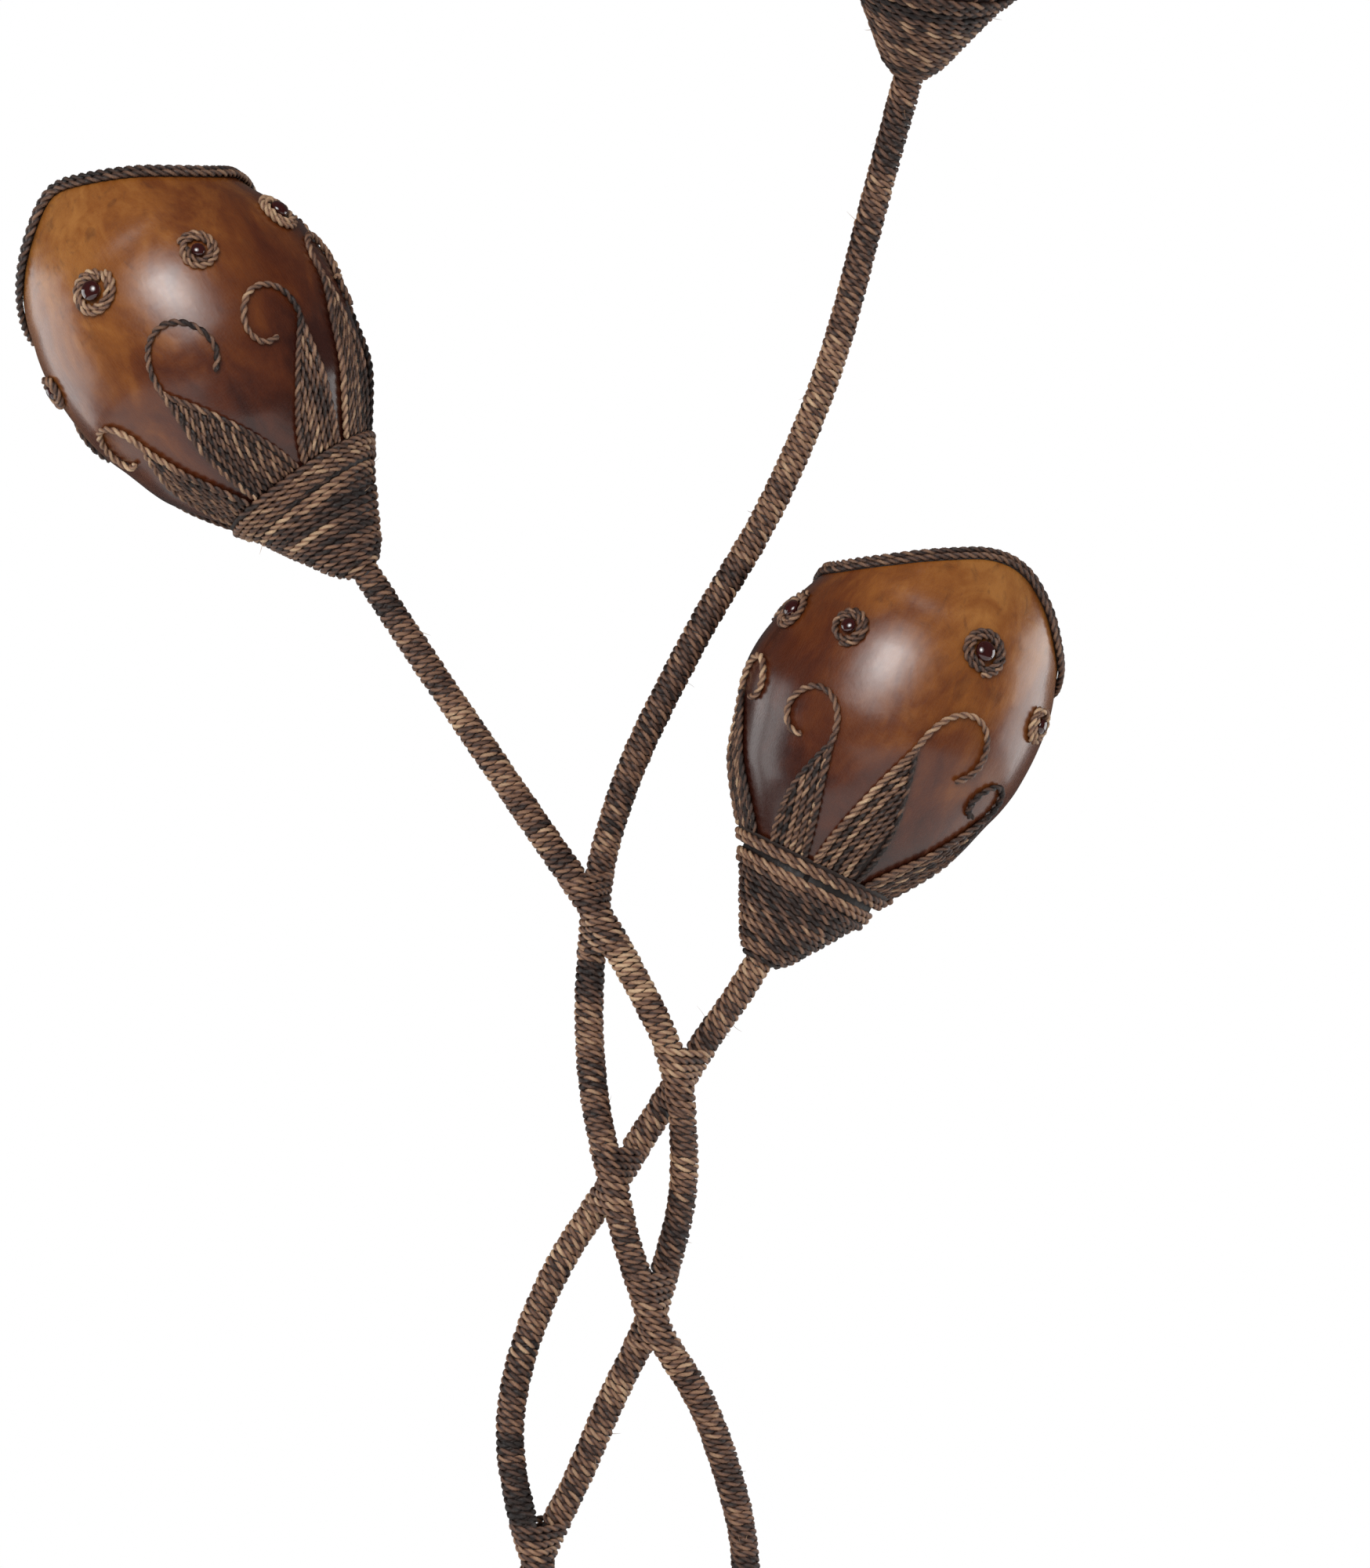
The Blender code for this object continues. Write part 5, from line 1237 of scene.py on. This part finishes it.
for head, spec in HEADS.items():
    seat, frame_m = seat_matrix(spec), head_matrix(spec)
    make_shell(head, spec, seat)
    make_rim(head, spec, seat)
    make_leaves(head, spec, seat)
    make_rosettes(head, spec, seat)
    make_cup(head, spec, frame_m)
    make_collar(head, spec, seat, frame_m)
    finish_piece(revolve(head + "_holder", HOLDER, frame_m), BLACK, "stand", "black_plastic", head + "_lampholder")
    lift = spec["slack"][2]
    ring = [(62.4, 24.6), (61.8, 25.8), (60.9, 26.0), (58.5, 26.0), (58.0, 25.4), (58.0, 21.0), (62.4, 21.0)]
    finish_piece(revolve(head + "_holder_ring", [(h + lift, r) for h, r in ring], frame_m), RING_BLACK, head + "_ring", "black_plastic", head + "_shade_ring")
    cap = [(57.0, 0.0), (57.0, 13.2), (56.4, 13.4)] + [(h, 12.75 + 0.65 * math.cos((h - 55.5) / 3.6 * 2 * math.pi)) for h in np.arange(55.5, 34.2, -0.45)]
    cap += [(33.6, 12.6), (32.0, 12.4), (29.0, 9.0), (28.6, 5.6), (27.4, 5.0), (26.6, 3.4), (26.5, 0.0)]
    finish_piece(revolve(head + "_lamp_cap", cap, frame_m, closed=False), NICKEL, head + "_bulb", "cap_metal", head + "_bulb_cap")
    out = curve_through([(152.8, 0.6), (150.6, 3.4), (142.0, 7.4), (130.0, 12.0), (116.0, 16.0), (101.0, 17.5), (86.0, 16.3), (74.0, 14.3), (64.0, 13.0), (57.4, 12.6)], 60)
    glass = [(153.0, 0.0)] + [(float(h), float(r)) for h, r in out] + [(57.4, 11.6)]
    glass += [(float(h) - 0.2, max(float(r) - 1.0, 0.3)) for h, r in out[::-1][1:-1]] + [(151.8, 0.0)]
    finish_piece(revolve(head + "_lamp_glass", glass, frame_m, closed=False), OPAL, head + "_bulb", "frosted_glass", head + "_bulb_glass")

# ---------------------------------------------------------------- base

here = Matrix.Identity(4)
finish_piece(revolve("felt_pad", [(1.8, 0.0), (1.8, 146.6), (1.4, 147.0), (0.0, 147.0), (0.0, 0.0)], here, 128, closed=False), FELT, "stand", "felt", "base_felt")
finish_piece(revolve("bottom_plate", [(3.6, 0.0), (3.6, 147.6), (3.2, 148.0), (2.1, 148.0), (2.1, 0.0)], here, 128, closed=False), PLATE, "stand", "painted_sheet", "base_plate")


def make_base_cord():
    """One cord laid in a flat spiral over the dome, from its middle out and down its side."""
    prof = np.array(CORD_COVER_OUT)
    run = np.concatenate([[0.0], np.cumsum(np.linalg.norm(np.diff(prof, axis=0), axis=1))])
    s = np.linspace(0, run[-1], 3000)
    h, r = np.interp(s, run, prof[:, 0]), np.interp(s, run, prof[:, 1])
    soft = np.hanning(121)
    soft /= soft.sum()
    h = np.convolve(np.pad(h, 60, mode="reflect", reflect_type="odd"), soft, mode="valid")
    r = np.convolve(np.pad(r, 60, mode="reflect", reflect_type="odd"), soft, mode="valid")
    dh, dr = np.gradient(h), np.gradient(r)
    size = np.hypot(dh, dr)
    nh, nr = dr / size, -dh / size
    hc, rc = h - nh * 2.1, r - nr * 2.1
    run = np.concatenate([[0.0], np.cumsum(np.hypot(np.diff(hc), np.diff(rc)))])
    pitch, first = 4.35, 2.4
    length = run[-1] - 2.6 - first
    turns = length / pitch
    phi_max = 2 * np.pi * turns
    # steps of even length although the turns grow
    phi = phi_max * np.sqrt(np.linspace(0.0004, 1.0, 9400))
    at = first + length * phi / phi_max
    hh, rr = np.interp(at, run, hc), np.maximum(np.interp(at, run, rc), 0.2)
    nhh, nrr = np.interp(at, run, nh), np.interp(at, run, nr)
    local = np.stack([rr * np.cos(phi), rr * np.sin(phi), hh], 1)
    up = np.stack([nrr * np.cos(phi), nrr * np.sin(phi), nhh], 1)
    local, up = resample(local, up, 2.2)
    keep = np.ones(len(local), bool)
    for stem in ROUTES:
        x, y, _ = ROUTES[stem][-1]
        keep &= np.hypot(local[:, 0] - x, local[:, 1] - y) > 11.4
    keep &= ~((np.hypot(local[:, 0], local[:, 2] - LEAD_Z) < 11.2) & (local[:, 1] > 100))
    edges = np.flatnonzero(np.diff(np.concatenate([[0], keep.astype(int), [0]])))
    bundle = Bundle()
    for a, b in zip(edges[::2], edges[1::2]):
        if b - a < 5:
            continue
        where = np.linspace(0, 1, b - a)
        bundle.cord(local[a:b], up[a:b], 2.1, pitch=13.0, tone=0.43 + 0.08 * noise1(np.arange(a, b) * 2.2, 900.0, 77), split=0.12, seed=4000 + int(a) % 89, sides=8, start=2.2 * a)
    bundle.build("base_cord_spiral", CORD, "stand", "plant_cord", "base_cord_cover")


make_base_cord()

# ---------------------------------------------------------------- floor, lights and camera


def stage_floor():
    a = np.linspace(0, 2 * np.pi, 96, endpoint=False)
    ring = np.stack([1850 * np.cos(a), 1850 * np.sin(a), np.full(96, -0.2)], 1)
    verts = np.vstack([[0, 0, -0.2], ring])
    idx = np.arange(1, 97)
    ob = make_mesh("studio_floor", verts, np.zeros((0, 4)), np.stack([np.zeros(96, int), idx, np.roll(idx, -1)], 1), smooth=False)
    n = Nodes("studio_floor_white")
    n.shader.inputs["Base Color"].default_value = (0.82, 0.82, 0.81, 1.0)
    n.shader.inputs["Roughness"].default_value = 0.7
    ob.data.materials.append(n.mat)


stage_floor()


def softbox(name, location, target, width, height, power, colour=(1.0, 1.0, 1.0), shape="RECTANGLE"):
    data = bpy.data.lights.new(name, "AREA")
    data.shape = shape
    data.size, data.size_y = width, height
    data.energy = power
    data.color = colour
    ob = bpy.data.objects.new(name, data)
    ob.location = location
    way = Vector(target) - Vector(location)
    ob.rotation_euler = way.to_track_quat("-Z", "Y").to_euler()
    bpy.context.scene.collection.objects.link(ob)
    return ob


softbox("key_middle", (-0.86, -4.4, 2.50), (0.0, 0.0, 1.1), 1.5, 1.25, 26.0, shape="ELLIPSE")
softbox("key_softbox", (-0.90, -4.6, 2.60), (0.0, 0.0, 1.1), 3.1, 2.7, 84.0, shape="ELLIPSE")
softbox("key_halo", (-0.92, -4.7, 2.65), (0.0, 0.0, 1.1), 5.4, 4.6, 70.0, shape="ELLIPSE")
softbox("left_softbox", (-1.95, 0.50, 0.90), (0.0, 0.0, 1.1), 1.6, 1.25, 11.5)
softbox("right_softbox", (1.90, 0.62, 0.74), (0.0, 0.0, 0.95), 1.4, 1.25, 13.0)

world = bpy.data.worlds.new("studio")
bpy.context.scene.world = world
world.use_nodes = True
tree = world.node_tree
tree.nodes.clear()
out = tree.nodes.new("ShaderNodeOutputWorld")
seen, lit = tree.nodes.new("ShaderNodeBackground"), tree.nodes.new("ShaderNodeBackground")
seen.inputs["Color"].default_value = (1.0, 1.0, 1.0, 1.0)
seen.inputs["Strength"].default_value = 1.0
lit.inputs["Color"].default_value = (1.0, 0.99, 0.98, 1.0)
lit.inputs["Strength"].default_value = 0.46
mix, path_node = tree.nodes.new("ShaderNodeMixShader"), tree.nodes.new("ShaderNodeLightPath")
dim = tree.nodes.new("ShaderNodeMapRange")  # the room that polished surfaces mirror is darker than the light it sheds
tree.links.new(path_node.outputs["Is Glossy Ray"], dim.inputs["Value"])
dim.inputs["To Min"].default_value = 0.42
dim.inputs["To Max"].default_value = 0.06
tree.links.new(dim.outputs["Result"], lit.inputs["Strength"])
tree.links.new(path_node.outputs["Is Camera Ray"], mix.inputs["Fac"])
tree.links.new(lit.outputs[0], mix.inputs[1])
tree.links.new(seen.outputs[0], mix.inputs[2])
tree.links.new(mix.outputs[0], out.inputs["Surface"])
bpy.context.scene.view_settings.view_transform = "Standard"
bpy.context.scene.view_settings.look = "None"

camera_data = bpy.data.cameras.new("camera")
camera_data.lens = 85.0
camera_data.sensor_width = 36.0
camera_data.sensor_fit = "AUTO"
camera_data.clip_end = 50.0
camera = bpy.data.objects.new("camera", camera_data)
camera.location = (0.02592, -2.2666, 0.9024)
camera.rotation_euler = (math.pi / 2, 0.0, 0.0)
bpy.context.scene.collection.objects.link(camera)
bpy.context.scene.camera = camera

bpy.context.view_layer.update()
